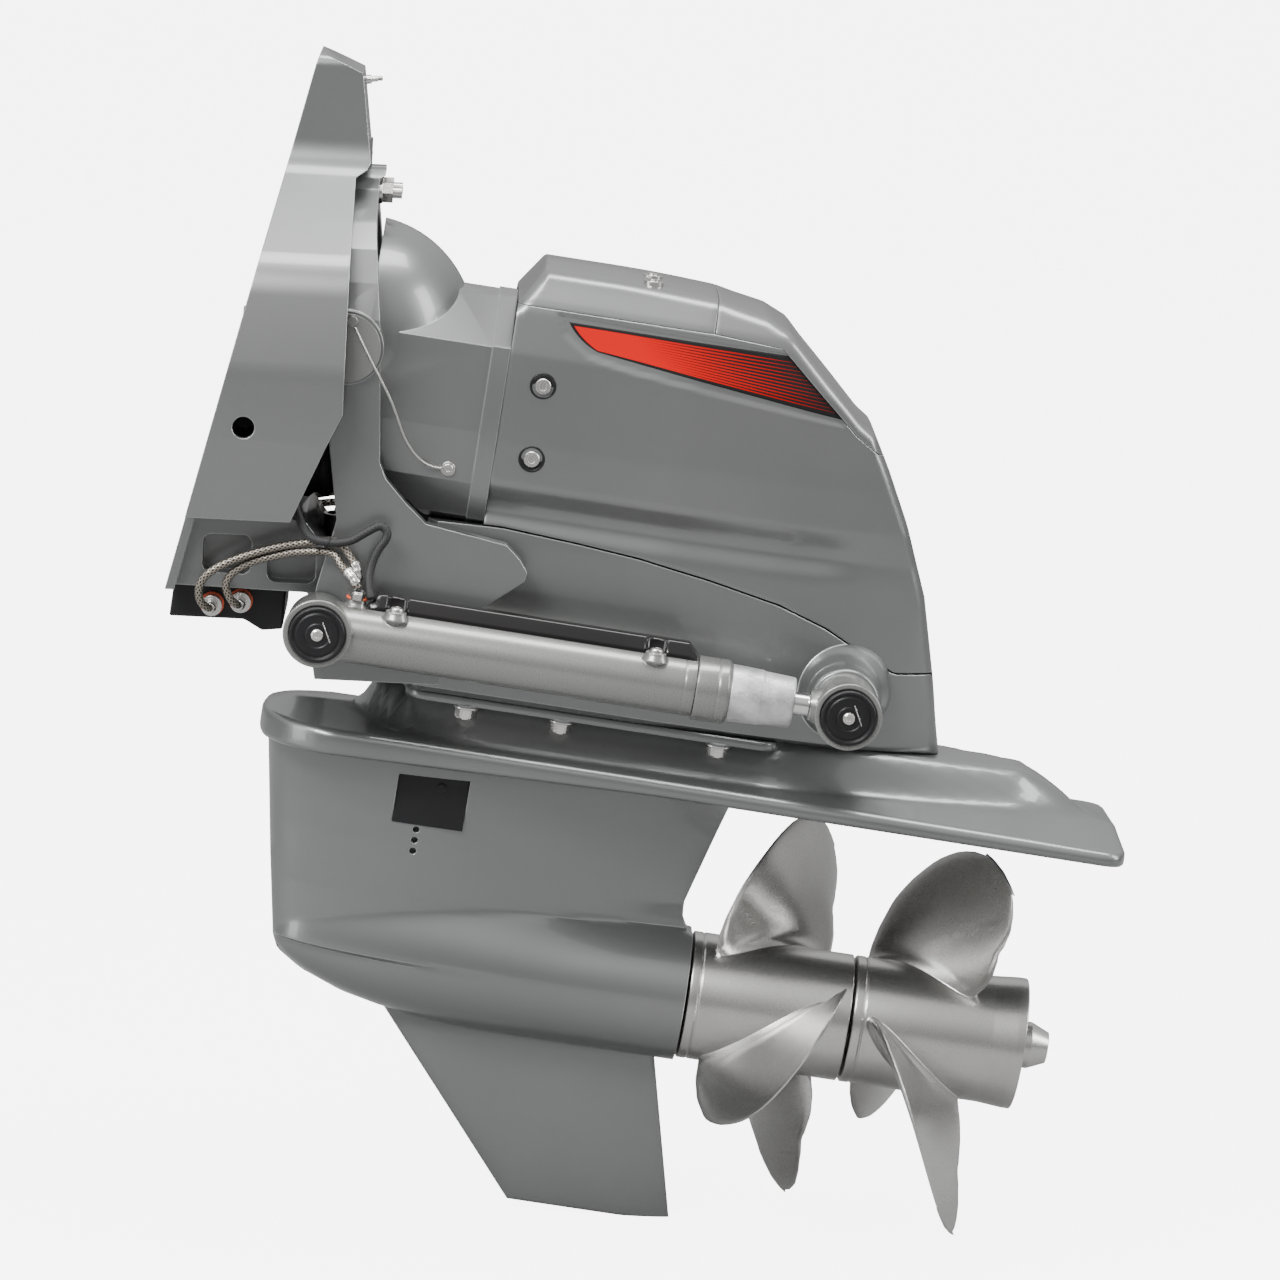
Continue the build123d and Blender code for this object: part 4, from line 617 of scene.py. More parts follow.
def propeller(node, start, end, bore, cone, first_phase, *shape):
    """Hub with its ribs and blades."""
    mouth = HUB_R + cone
    outer = eased([(start, 30), (start, 54.5), (start + 1.5, HUB_R), (start + 9, HUB_R), (start + 9.6, 56.2),
                   (start + 10.6, 56.2), (start + 11.2, HUB_R), (end - 30, HUB_R), (end - 8, mouth),
                   (end - 0.6, mouth), (end, mouth - 0.6), (end, 51), (end - 60, 49), (end - 62, 28),
                   (end - 6, 26), (end - 5, bore), (start + 0.5, bore)], 0.8)
    pieces = [lathe("hub", outer + [outer[0]], propeller_steel, height=PROP_Z)]
    for n in range(BLADE_COUNT):
        a = 2 * pi * n / BLADE_COUNT + 0.5
        side, out, hub = Vector((0, cos(a), -sin(a))), Vector((0, sin(a), cos(a))), Vector((0, 0, PROP_Z))
        pieces.append(skin("rib", [[hub + out * r + side * (w * h) + Vector((end - x, 0, 0))
                                    for w, x in ((-1, 61), (1, 61), (1, 12), (-1, 12))]
                                   for r, h in ((25, 5), (30, 3.5), (46, 3.5), (52, 5))]))
    pieces += [blade(first_phase + 120 * n, *shape) for n in range(BLADE_COUNT)]
    settle(joined(node + "_form", pieces), node)


propeller("front_propeller", 383.5, 529, 21.3, 0, -10, -1, 456, 186, (440, 500),
          (132, 160, 178, 182, 174, 154, 130, 100, 66, 14), (0, 6, 28), (0, 0, 0))
propeller("rear_propeller", 531, 687, 13.3, 2, -4, 1, 592, 184, (400, 470),
          (124, 148, 164, 170, 164, 144, 116, 88, 58, 14), (0, 8, 28), (0, 4, 10))

# Gearcase: waterlines of the strut and the torpedo as one soft form, with the skeg below
TORPEDO_R = 60
CHIN_R = (0.5, 14, 29, 44, 53, 59, 60, 60)
CHIN_X = (12, 18, 41, 80, 121, 200, 300, 382)


def mirrored(half_ring, shared=1):
    """A ring closed by its own mirror image, which leaves out the points on the middle."""
    return half_ring[::-1] + [(a, -b, c) for a, b, c in half_ring[1:len(half_ring) - shared + 1]]


def soft_most(a, b, k):
    h = np.clip(k - np.abs(a - b), 0, None) / k
    return np.maximum(a, b) + h * h * k / 4


def case_ring(z):
    dz = abs(z - PROP_Z)
    nose = np.interp(-z, (344, 357, 473, 540, 546), (-24, -20, -1, 11, 12))
    tail = np.interp(-z, (344, 367, 462, 476, 487, 489), (404, 396, 370, 371, 377, 382))
    if z < PROP_Z:
        nose = read(dz, CHIN_R, CHIN_X)
    u = 1 - np.cos(0.5 * pi * np.linspace(0, 1, 60))
    x = nose + u * (tail - nose)
    r = TORPEDO_R * (1 - np.clip(1 - (x - 12) / 250, 0, 1) ** 2.6) ** 0.62
    y = np.sqrt(np.clip(r * r - dz * dz, 0, None))
    if z >= PROP_Z:
        half = read(-z, (344, 352, 362, 380, 410, 440, 490, 546), (90, 84, 74, 64, 55, 50, 47, 46))
        foil = 10 * (0.2969 * np.sqrt(u) - 0.126 * u - 0.3516 * u ** 2 + 0.2843 * u ** 3 - 0.1015 * u ** 4)
        strut = foil * half + read(-z, (344, 354, 395, 440), (22, 15, 9, 7)) * u ** 3
        y = (soft_most(strut, y, 26.0) if dz < 75 else strut) * np.minimum(1, np.sqrt(u / 0.002))
    y[0] = 0.0
    return mirrored([(float(a), float(b), z) for a, b in zip(x, y)])


def skeg_ring(z):
    f = (z + 757) / 160
    nose, tail = 256 - 137 * f, 404 - 40 * f
    half = 4.6 + 11 * max(0.0, 1 - (-598 - z) / 16) ** 2 if z < -598 else 15.6
    half *= sqrt(max(1 - max(0.0, 1 - (z + 757) / 3.0) ** 2, 0.02))
    out = []
    for k in range(24):
        u = 0.5 * (1 - cos(pi * k / 23))
        out.append((nose + u * (tail - nose), half * (1 - abs(2 * u - 1) ** 5) ** 0.6 * (1 - 0.35 * u), z))
    return mirrored(out, 2)


depths = [-346, -350, -354, -359, -366, -375, -386] + [-395 - 6 * k for k in range(15)] + \
    [-480.0, -484, -487, -489, -492, -496] + \
    [PROP_Z + TORPEDO_R * cos(a) for a in np.linspace(0.62, pi - 0.02, 40)]
skeg_depths = (-757, -756.6, -756, -755, -753, -745, -720, -690, -660, -640, -625, -615, -610, -606, -602,
               -598, -590)
case_form = joined("gearcase_form", [skin("case_body", [case_ring(float(z)) for z in depths], grey_paint),
                                     skin("skeg", [skeg_ring(z) for z in skeg_depths], grey_paint)])
settle(case_form, "gearcase")
cutter_bits = []
for side in SIDES:
    y0, y1 = sorted((side * 51.8, side * 110))
    window = [(101, -373), (164, -371), (164, -419), (101, -419)]
    cutter_bits.append(skin("cut", [[(x, y, z) for x, z in window] for y in (y0, y1)]))
    for z in (-423.5, -433.5, -443.5):
        cutter_bits.append(skin("cut", [[(123.5 + 3 * cos(a), y, z + 3 * sin(a)) for a in turns(24)]
                                        for y in sorted((side * 36, side * 90))]))
cutter = joined("cutter", cutter_bits)
modified(case_form, "BOOLEAN", object=cutter, operation="DIFFERENCE", solver="EXACT", use_self=True)
flattened(case_form, 32)
bpy.data.objects.remove(cutter)

# Plate over the propellers: one soft form from the thick front lip to the thin tail
PLATE_FRONT, PLATE_BACK, SEAT_Z = -27, 740, -294.2
BOLT_X, BOLT_Y = (150, 234, 373), (-73, 73)


def plate_ring(x):
    wide = read(x, (-27, -26, -22, -8, 8, 32, 300, 724, 734, 739.5, 740),
                (6, 20, 40, 66, 80, 92, 98, 118, 113, 98, 90))
    neck = read(x, (56, 70, 104, 160, 420, 560, 640, 700, 706), (4, 22, 48, 62, 62, 46, 30, 12, 4))
    crest = read(x, (50, 60, 72, 84, 640, 648, 702, 712), (0, 0.25, 0.86, 1, 1, 0.97, 0.08, 0))
    rise = read(x, (-27, 0, 300, 500, 650, 720, 740), (2, 9, 24, 38, 30, 8, 4))
    low = read(x, (-27, 120, 330, 740), (-364, -360, -354, -352))
    front, back = rim_drop(x - PLATE_FRONT, 9.0), rim_drop(PLATE_BACK - x, 5.0)
    top, under = [], []
    for k in range(49):
        s = -cos(pi * k / 48)
        y = s * wide
        z = -339 + rise * (1 - abs(s)) ** 1.25
        h = min(1.0, max(0.0, (neck + 20 - abs(y)) / 26))
        z += (SEAT_Z - z) * (h * h * (3 - 2 * h) * crest)
        edge = rim_drop(wide - abs(y), 7.0)
        z -= 7 * edge + 7 * front + 3 * back
        top.append((x, y, z))
        under.append((x, y, min(low + 5 * edge + 5 * front, z - 0.4)))
    return top + under[::-1]


def rounded_slab(name, x0, x1, half, corner, z0, z1, ease=1.6):
    """A flat piece with rounded corners and eased rims."""
    rings = []
    for inset, z in ((ease, z0), (0.4 * ease, z0 + 0.2 * ease), (0, z0 + ease), (0, z1 - ease),
                     (0.4 * ease, z1 - 0.2 * ease), (ease, z1)):
        rings.append([])
        for cx, cy, start in ((x1 - corner, half - corner, 0), (x0 + corner, half - corner, 90),
                              (x0 + corner, -half + corner, 180), (x1 - corner, -half + corner, 270)):
            for k in range(9):
                a = radians(start + 90 * k / 8)
                rings[-1].append((cx + (corner - inset) * cos(a), cy + (corner - inset) * sin(a), z))
    return skin(name, rings, grey_paint)


plate_x = [-27, -26.7, -26, -25, -23, -20, -16, -11, -5, 2, 12, 22, 32, 42, 50, 55, 60, 65, 70, 76, 84] + \
    [100 + 12 * k for k in range(45)] + [636, 642, 648, 656, 664, 672, 680, 688, 696, 702, 708, 714, 720,
                                         726, 731, 735, 738, 739.3, 740]
plate_parts = [skin("plate", [plate_ring(x) for x in plate_x], grey_paint),
               rounded_slab("flange", 95, 425, 84, 20, -302, SEAT_Z)]
for x in BOLT_X:
    for y in BOLT_Y:
        plate_parts.append(lathe("boss", eased([(301, 4), (301, 12.5), (303.9, 11.6), (303.9, 4)], 0.8),
                                 grey_paint, DRIVE @ (moved(x, y) @ spin(90, "Y")), sides=40))
settle(joined("plate_form", plate_parts), "gearcase")


# Upper unit: sections across the drive, trimmed by the outline seen from the side
def softened(x, y, spread, lo, hi, step_size=1.0):
    """A broken line made smooth by a running average about spread wide."""
    grid = np.arange(lo - 4 * spread, hi + 4 * spread, step_size)
    reach = int(3 * spread / step_size)
    kernel = np.exp(-0.5 * (np.arange(-reach, reach + 1) * step_size / spread) ** 2)
    padded = np.pad(np.interp(grid, x, y), reach, mode="edge")
    return grid, np.convolve(padded, kernel / kernel.sum(), mode="valid")


SIDE = softened((-294, -225, -142, -131, -127, -101, -64, 12, 50, 58, 74, 80, 86, 87.5, 88.5),
                (88, 90, 90, 89.6, 89.2, 96.4, 97.2, 95, 88, 85.5, 74, 70, 64, 40, 0), 1.6, -300, 84, 0.5)
BROW = softened((-150, -143, -131, -117, -108, -103, -96), (0, 0.4, 3.9, 4.2, 1.2, 0, 0),
                1.5, -160, -90, 0.5)
PLAN = softened((60, 140, 300, 400, 470, 530, 562, 574, 580), (97, 97, 97, 89, 72, 48, 27, 14, 10),
                7, 90, 574)
RIDGE = ((139, 140, 161, 225, 312, 328, 357, 379, 394, 425, 454, 465, 485, 508, 534, 556, 564, 574),
         (54, 54, 87, 87, 81.5, 78, 73, 63, 48, 20, -7, -14, -48, -92, -153, -231, -265, -301))
SEAM = ((80, 156, 221, 278, 341, 405, 450, 487, 517, 600),
        (-144, -141, -145, -150, -160, -173, -189, -208, -223, -218))
LID = ((80, 312, 372, 386, 448, 470, 530), (54, 54, 50, 38, -16, -30, -30))
LABEL_BED = ((176, 52), (184, 34), (206, 19), (241, 12), (434, -9), (440, -5), (380, 49))
WIDEST, ROUND_OFF, WALL, CREASE = 97, 9.0, 3.6, 0.05


def inside_bed(x, z):
    """How far a point lies inside the label's bed."""
    best = 1e9
    for (ax, az), (bx, bz) in zip(LABEL_BED, LABEL_BED[1:] + LABEL_BED[:1]):
        away = hypot(bx - ax, bz - az)
        best = min(best, ((z - az) * (bx - ax) - (x - ax) * (bz - az)) / away)
    return best


def step(value, low, high):
    t = min(1.0, max(0.0, (value - low) / (high - low)))
    return t * t * (3 - 2 * t)


def side_y(x, z, bed=True):
    """Half width of the upper unit at a point of its side."""
    y = read(z, *SIDE) * (read(x, *PLAN) / WIDEST)
    y -= (step(x, 480, 428) if x > 400 else 1.0) * read(z, *BROW)
    y -= 1.2 * step(z, 10, -60) * step(x, 330, 470) * step(z, -150, -60)
    slope = (np.interp(x + 1, *RIDGE) - np.interp(x - 1, *RIDGE)) / 2
    d = max(0.0, ridge(x) - z) / sqrt(1 + slope * slope)
    if d < ROUND_OFF:
        y -= ROUND_OFF - sqrt(max(0.0, ROUND_OFF ** 2 - (ROUND_OFF - d) ** 2))
    if bed:
        y -= 1.8 * step(inside_bed(x, z), -0.8, 1.8)
    return y


def side_sheet(xs, low, high, count, bed=True):
    """A grid of one side, from the low line up to the high line at each station, closer near the top."""
    out = []
    for x in xs:
        a, b = low(x), high(x)
        zs = [a + (b - a) * (1 - (1 - k / (count - 1)) ** 1.35) for k in range(count)]
        out.append([(x, side_y(x, z, bed), z) for z in zs])
    return out


def across(ends, count=21, crown=1.5):
    """A strip over the top from one side's edge to the other's."""
    return [[(x, y * cos(pi * k / (count - 1)), z + crown * sin(pi * k / (count - 1)) ** 2 * min(1, y / 40))
             for k in range(count)] for x, y, z in ends]


def shell(node, sheet, top_row):
    """A sheet of points on one side, mirrored, with a strip across; then given a wall."""
    grids = [[[(x, side * y, z) for x, y, z in row] for row in sheet] for side in (STARBOARD, PORT)]
    grids.append(across(top_row))
    made = joined(node + "_form", [skin("sheet", grid, grey_paint, False, False) for grid in grids])
    bm = opened(made.data, 4e-5)
    bmesh.ops.recalc_face_normals(bm, faces=bm.faces)
    middle = DRIVE @ Vector((250, 0, -100))
    if sum(f.normal.dot(f.calc_center_median() - middle) * f.calc_area() for f in bm.faces) < 0:
        bmesh.ops.reverse_faces(bm, faces=bm.faces)
    stored(bm, made.data)
    modified(made, "SOLIDIFY", thickness=WALL / 1000, offset=-1, use_even_offset=False)
    modified(made, "BEVEL", width=0.0008, segments=2, limit_method="ANGLE", angle_limit=radians(60))
    flattened(made, 50)
    settle(made, node)


def ridge(x):
    return read(x, *RIDGE)


def seam_at(x):
    return read(x, *SEAM)


def lid(x):
    return min(ridge(x), read(x, *LID))


cowl_x = [140 + 2.6 * k for k in range(128)]
cowl_x = [x for x in cowl_x if x < 472] + [473, 475, 477.5, 480] + [483 + 3 * k for k in range(25)]
cowl = side_sheet(cowl_x, lambda x: min(seam_at(x) + 1.7, ridge(x) - CREASE), lid, 74)
shell("side_cowl", cowl, [row[-1] for row, x in zip(cowl, cowl_x) if ridge(x) < -29.5])
top_x = [140.2, 141, 143, 146, 150, 154, 157, 159, 160.5, 162, 164] + [168 + 6 * k for k in range(24)]
top_x.append(311.6)
top = side_sheet(top_x, lambda x: 54.6, lambda x: max(ridge(x), 54.8), 22, bed=False)
shell("top_cover", top, [row[-1] for row in top])
back_x = [312.4, 316, 320, 325, 330, 336, 342, 348, 354, 358, 363, 368, 373, 378, 382, 386, 391] + \
    [396 + 4 * k for k in range(17)] + [462, 465, 468, 471, 473.5]
back = side_sheet(back_x, lambda x: min(read(x, *LID) + 0.6, ridge(x) - CREASE), ridge, 20, bed=False)
shell("rear_cover", back, [row[-1] for row in back])


# Driveshaft housing below the seam, with the bosses of the rear pivot
def house_ring(x):
    foot, head = -294.0, min(seam_at(x), ridge(x) - 0.02)
    nose = step(x, 92, 104)
    side = []
    for k in range(30):
        z = foot + (head - foot) * k / 29
        y = side_y(x, z, bed=False) * (0.78 + 0.22 * sqrt(max(0.0, 1 - (1 - nose) ** 2)))
        side.append((x, max(0.4, y - 5 * rim_drop(z - foot, 6)), z))
    return side + [(a, -b, c) for a, b, c in side[::-1]]


house_x = [92, 92.5, 94, 97, 101, 106, 114] + [120 + 8 * k for k in range(50)] + \
    [515, 520, 525, 530, 535, 540, 545, 550, 554, 558, 562, 566, 569, 571.6]
house_parts = [skin("house", [house_ring(x) for x in house_x], grey_paint)]
for side in SIDES:
    house_parts.append(lathe("boss", eased([(50, 20), (50, 46), (68, 42), (80, 35), (95, 32), (124, 31),
                                            (126.7, 29), (126.7, 20)], 4.0, 5), grey_paint,
                             DRIVE @ (moved(PIN_X, 0, PIN_Z) @ spin(90 * side, "Z")), sides=72))
settle(joined("driveshaft_housing_form", house_parts), "driveshaft_housing")


# Fasteners: one small turned form each, put in their places by a node tree
def hardware(name, profile, material, sides=48):
    """A turned form about Z from (height, radius) points; a third word "hex" makes six flats."""
    rings = []
    for h, r, *kind in profile:
        rings.append([])
        for a in turns(sides):
            size = min(r / cos((a % (pi / 3)) - pi / 6), r * 1.11) if kind else r
            rings[-1].append((size * cos(a), size * sin(a), h))
    return skin(name, rings, material, at=MM, sharp=28)


copies = bpy.data.node_groups.new("place_copies", "GeometryNodeTree")
for label, kind in (("Places", "Geometry"), ("Source", "Object"), ("Size", "Float"), ("Finish", "Material")):
    copies.interface.new_socket(label, in_out="INPUT", socket_type="NodeSocket" + kind)
copies.interface.new_socket("Copies", in_out="OUTPUT", socket_type="NodeSocketGeometry")
copy_in, copy_out, source, axis_of, aligned, dealt, real, painted = (copies.nodes.new(kind) for kind in (
    "NodeGroupInput", "NodeGroupOutput", "GeometryNodeObjectInfo", "GeometryNodeInputNamedAttribute",
    "FunctionNodeAlignRotationToVector", "GeometryNodeInstanceOnPoints", "GeometryNodeRealizeInstances",
    "GeometryNodeSetMaterial"))
axis_of.data_type = "FLOAT_VECTOR"
axis_of.inputs["Name"].default_value = "axis"
aligned.axis = "Z"
for giver, given, taker, taken in (
        (copy_in, "Places", dealt, "Points"), (copy_in, "Source", source, "Object"),
        (source, "Geometry", dealt, "Instance"), (axis_of, "Attribute", aligned, "Vector"),
        (aligned, "Rotation", dealt, "Rotation"), (copy_in, "Size", dealt, "Scale"),
        (dealt, "Instances", real, "Geometry"), (real, "Geometry", painted, "Geometry"),
        (copy_in, "Finish", painted, "Material"), (painted, "Geometry", copy_out, "Copies")):
    copies.links.new(giver.outputs[given], taker.inputs[taken])
COPY_KEYS = {item.name: item.identifier for item in copies.interface.items_tree if item.in_out == "INPUT"}


def deal(name, form, places, size=1.0, **joins):
    """Copies of a form at (place, axis) pairs in metres, settled as one piece."""
    mesh = bpy.data.meshes.new(name)
    mesh.from_pydata([tuple(at) for at, _ in places], [], [])
    heading = mesh.attributes.new("axis", "FLOAT_VECTOR", "POINT")
    for item, (_, way) in zip(heading.data, places):
        item.vector = Vector(way).normalized()
    made = add_object(name, mesh)
    modifier = made.modifiers.new("copies", "NODES")
    modifier.node_group = copies
    modifier[COPY_KEYS["Source"]] = form
    modifier[COPY_KEYS["Size"]] = size
    modifier[COPY_KEYS["Finish"]] = form.data.materials[0]
    flattened(made, 28)
    settle(made, **joins)


def on_drive(x, y, z, *way):
    """A place on the drive and the way its fastener points."""
    return DRIVE @ Vector((x, y, z)), DRIVE.to_3x3() @ Vector(way)


socket_screw = hardware("socket_screw", [(-3, 3), (-3, 6.0), (0, 6.9), (2.2, 6.9), (2.8, 6.3),
                                         (2.8, 3.3, "hex"), (0.2, 3.2, "hex"), (0.2, 0.1)], stainless)
cup = hardware("cup", [(-3, 4), (-3, 11.6), (0.3, 11.6), (0.8, 11.1), (0.8, 10.2), (0.2, 9.2), (0.1, 4)],
               black_plastic)
hex_bolt = hardware("hex_bolt", [(0, 4), (0, 11), (1.6, 11), (2, 10.5), (2, 8.4, "hex"), (9.6, 8.4, "hex"),
                                 (11, 8.0), (11, 0.1)], stainless)
dome_screw = hardware("dome_screw", [(-1, 3), (-1, 5.6), (0.6, 5.6), (1.8, 5.0), (2.6, 3.6),
                                     (2.6, 1.9, "hex"), (1.2, 1.8, "hex"), (1.2, 0.1)], stainless)
washer = hardware("washer", [(-0.2, 2), (-0.2, 6.3), (0.9, 6.3), (1.2, 6.0), (1.2, 4.4), (2.9, 4.4),
                             (3.3, 4.0), (3.3, 1.9, "hex"), (2.2, 1.8, "hex"), (2.2, 0.1)], stainless)
fitting = hardware("fitting", [(32.4, 2), (32.4, 6.6, "hex"), (38, 6.6, "hex"), (38.6, 5.6), (40, 5.2),
                               (40, 2)], stainless)
cowl_spots = [(side, z, side_y(172, z)) for side in SIDES for z in (-12, -76)]
deal("cowl_screw_cups", cup, [on_drive(172, side * (y - 0.2), z, 0, side, 0) for side, z, y in cowl_spots],
     body="drive", slot="black_plastic")
deal("cowl_screw_heads", socket_screw, [on_drive(172, side * (y + 0.6), z, 0, side, 0)
                                        for side, z, y in cowl_spots], node="cowl_screws")
deal("wire_terminals_aft", washer, [on_drive(102, side * 96.0, -95.6, 0, side, 0) for side in SIDES],
     body="drive", slot="stainless")
deal("case_bolt_heads", hex_bolt, [on_drive(x, y, -303.5, 0, 0, -1) for x in BOLT_X for y in BOLT_Y],
     node="gearcase_bolts")


# Trim cylinders
def second_paint(made, beyond=-1e9):
    """The faces beyond a world x take the paint of the cylinders, as the second material."""
    made.data.materials.append(cylinder_paint)
    for face in made.data.polygons:
        if face.center.x > beyond:
            face.material_index = 1


OUTWARD, UPWARD = spin(-90, "Z"), spin(-90, "Y")
PORT_X, SCREW_X, SCREW_Y, SCREW_ROOM = 29, (64, 289), -14, 11
BORE_R, ROD_R = 25.5, 9.8
for side in SIDES:
    word = side_word(side)
    place = cylinder_frame(side)
    body, rod_body = word + "_cylinder", word + "_rod"
    port_seat = place @ moved(PORT_X) @ UPWARD
    tube = lathe("tube", eased([(8, 2), (8, BORE_R), (316, BORE_R), (317, 25.1), (318, BORE_R),
                                (327, BORE_R), (327, 2)], 1.0), cylinder_paint, place)
    eye = lathe("eye", eased([(-21.7, 2), (-21.7, 27.4), (12, 28), (21, 28), (22.5, 29.5), (29, 29.5),
                              (30, 28.6), (30, 24.6), (28.6, 24.2), (28.6, 15), (28.6, 2)], 0.9),
                cylinder_paint, place @ OUTWARD)
    neck = lathe("neck", eased([(24, 2), (24, 10.5), (26.5, 8.6), (30, 8), (30.4, 7.4), (30.4, 2)], 0.8),
                 cylinder_paint, port_seat, sides=40)
    mounds = [lathe("mound", eased([(10, 2), (20, 12), (25, 9.4), (27, 9), (27.5, 8.4), (27.5, 2)], 1.2),
                    cylinder_paint, place @ moved(x, SCREW_Y) @ UPWARD, sides=40) for x in SCREW_X]
    settle(joined(word + "_trim_cylinder_form", [tube, eye, neck] + mounds), word + "_trim_cylinder")
    settle(lathe(word + "_gland_form", eased([(303, 10.2), (303, 19), (327.2, 19), (327.2, 27.2), (328, 28),
                                              (345, 28), (346, 27.3), (347, 28), (354, 28), (357, 25),
                                              (357, 10.2)], 0.8), cylinder_paint, place),
           word + "_cylinder_gland")
    rng = np.random.default_rng(7)
    waves = [(float(rng.uniform(0.05, 0.16)), int(rng.integers(2, 7)), float(rng.uniform(0, 6)))
             for _ in range(7)]
    rings = []
    for x, r in eased([(357.1, 12), (357.1, 25), (371, 25), (384, 24.5), (386, 23.6), (411, 22.2), (413, 21),
                       (413, 12)], 0.7, 4):
        rings.append([])
        for a in turns(72):
            rough = sum(sin(f * x + n * a + q) for f, n, q in waves) * 0.13 if r > 15 else 0
            rings[-1].append((x, (r + rough - 0.4) * sin(a), (r + rough - 0.4) * cos(a)))
    settle(skin(word + "_anode_form", rings, zinc, at=place, sharp=50), word + "_cylinder_anode")
    shaft = lathe("shaft", eased([(40, 2), (40, 19.2), (56, 19.2), (56, ROD_R), (EYE_SPAN - 33, ROD_R),
                                  (EYE_SPAN - 33, 13), (EYE_SPAN - 24, 16.4), (EYE_SPAN - 16, 17),
                                  (EYE_SPAN - 16, 2)], 1.2), polished_rod, place)
    second_paint(shaft, (place @ Vector((EYE_SPAN - 31.5, 0, 0))).x)
    far_eye = lathe("far_eye", eased([(-29.7, 18.5), (-29.7, 27.4), (-28, 28), (22, 28), (23, 29.2),
                                      (29, 29.2), (30, 28.4), (30, 24.6), (28.6, 24.2), (28.6, 18.5)], 0.9)
                    + [(-29.7, 18.5)], polished_rod, place @ moved(EYE_SPAN) @ OUTWARD)
    second_paint(far_eye)
    settle(joined(word + "_piston_rod_form", [shaft, far_eye]), word + "_piston_rod")

    # cover strip with room left for its screws
    rings = []
    strip_x = [38, 38.6, 40, 42, 44.5, 47, 50] + [51 + 1.2 * k for k in range(22)] + \
        [80 + 8 * k for k in range(25)] + [275.5 + 1.2 * k for k in range(23)] + \
        [306, 310, 314, 317, 320, 323, 324.6, 325]
    for x in strip_x:
        high = read(x, (38, 47.5, 317, 325), (25.5, 38, 38, 29.5))
        near = -8.5
        for spot in SCREW_X:
            if abs(x - spot) < SCREW_ROOM:
                near = max(near, SCREW_Y + sqrt(SCREW_ROOM ** 2 - (x - spot) ** 2))
        lean = min(7.0, max(0.5, 0.5 * (high - 25))) if near < -8 else 2.0
        foot = sqrt(max(0.0, 25.6 ** 2 - near ** 2))
        waist = high - 1.3 - (high - foot) * 0.62
        rings.append([(x, y, z) for y, z in (
            (9.6, 23.7), (10, 24.2), (10, high - 2.0), (9.4, high - 0.6), (8, high),
            (near + lean + 1.4, high), (near + lean, high - 0.5), (near + lean - 0.9, high - 1.3),
            (near + 0.5, waist), (near, waist - 1.0), (near, foot + 0.2), (near + 0.4, foot - 0.2),
            (0, 25.4))])
    settle(skin(word + "_cover_strip_form", rings, gloss_black, at=place, sharp=35), word + "_cover_strip")
    up_way = place.to_3x3() @ Vector((0, 0, 1))
    deal(word + "_strip_screws", dome_screw, [(place @ Vector((x, SCREW_Y, 28.4)), up_way) for x in SCREW_X],
         node=word + "_cylinder_screws")
    settle(lathe(word + "_port_seal", eased([(30.3, 6), (30.3, 9.4), (32.4, 9.4), (32.4, 6)], 0.6), seal_red,
                 port_seat, sides=40), body=body, slot="rubber")
    deal(word + "_port_nuts", fitting, [(place @ Vector((PORT_X, y, 0)), up_way) for y in (-4.5, 5.0)],
         size=0.94, body=body, slot="stainless")

    # end caps: rim, ring, a slot and a screw
    for label, centre, owner, node in (("front_cap", 0, "ring", "front_caps"),
                                       ("rear_cap", EYE_SPAN, rod_body, word + "_rear_cap")):
        seat = place @ moved(centre) @ OUTWARD
        settle(lathe(f"{word}_{label}_form", eased([
            (28.8, 2), (28.8, 24), (34.6, 24), (36, 22.8), (36, 21), (34.6, 20.2), (34.6, 18.6),
            (35.4, 17.8), (35.4, 11.4), (34.8, 10.8), (34.8, 9.8), (35.4, 9.2), (35.4, 2)], 0.5),
                     black_plastic, seat), node)
        tilt = radians(62)
        bar = [[(35.2 + d, 7.6 + w * cos(tilt) + q * sin(tilt), 3.4 - w * sin(tilt) + q * cos(tilt))
                for d, q in ((0, -h), (0, h), (0.5, h), (0.5, -h))]
               for w, h in ((-9.5, 0.2), (-9.2, 0.42), (9.2, 0.42), (9.5, 0.2))]
        settle(skin(f"{word}_{label}_line", bar, stainless, at=seat), body=owner, slot="stainless")
        deal(f"{word}_{label}_screw", dome_screw, [(seat @ Vector((35.4, 0, 0)),
                                                    seat.to_3x3() @ Vector((1, 0, 0)))],
             body=owner, slot="stainless")
for helper in (socket_screw, cup, hex_bolt, dome_screw, washer, fitting):
    bpy.data.objects.remove(helper)
for side in SIDES:
    for n, (x, z) in enumerate(((-83, -234), (-108, -238))):
        settle(lathe(f"{side_word(side)}_manifold_seal_{n}",
                     eased([(70.1, 7), (70.1, 10.6), (73, 10.6), (73, 7)], 0.8), seal_red,
                     BOAT @ moved(x, 0, z) @ spin(90 * side, "Z"), sides=40), body="transom", slot="rubber")

# Label on each side of the cowl: red with fine dark lines, going to black aft, black rim
STRIPES = 14.0
LABEL_FOOT = Vector((214, 24)), Vector((435, -3.5))
LABEL_HEAD = Vector((186, 45.5)), Vector((379, 45))
LABEL_BOW, LABEL_LIFT = 9.0, 0.3
label_paint, tree, inputs = new_material("label_paint", Roughness=0.4, Specular_IOR_Level=0.12)
spot = run_map(tree)
fade = ranged(tree, spot[0], 0.25, 1.02, smooth=False)
stripe = maths(tree, "PINGPONG", maths(tree, "MULTIPLY", spot[1], STRIPES), 0.5)
width = maths(tree, "MULTIPLY_ADD", fade, 0.52, -0.03)
dark_line = ranged(tree, maths(tree, "SUBTRACT", width, stripe), -0.02, 0.02)
warm = mixed(tree, fade, (0.46, 0.001, 0.0005), (0.24, 0.0005, 0.0005))
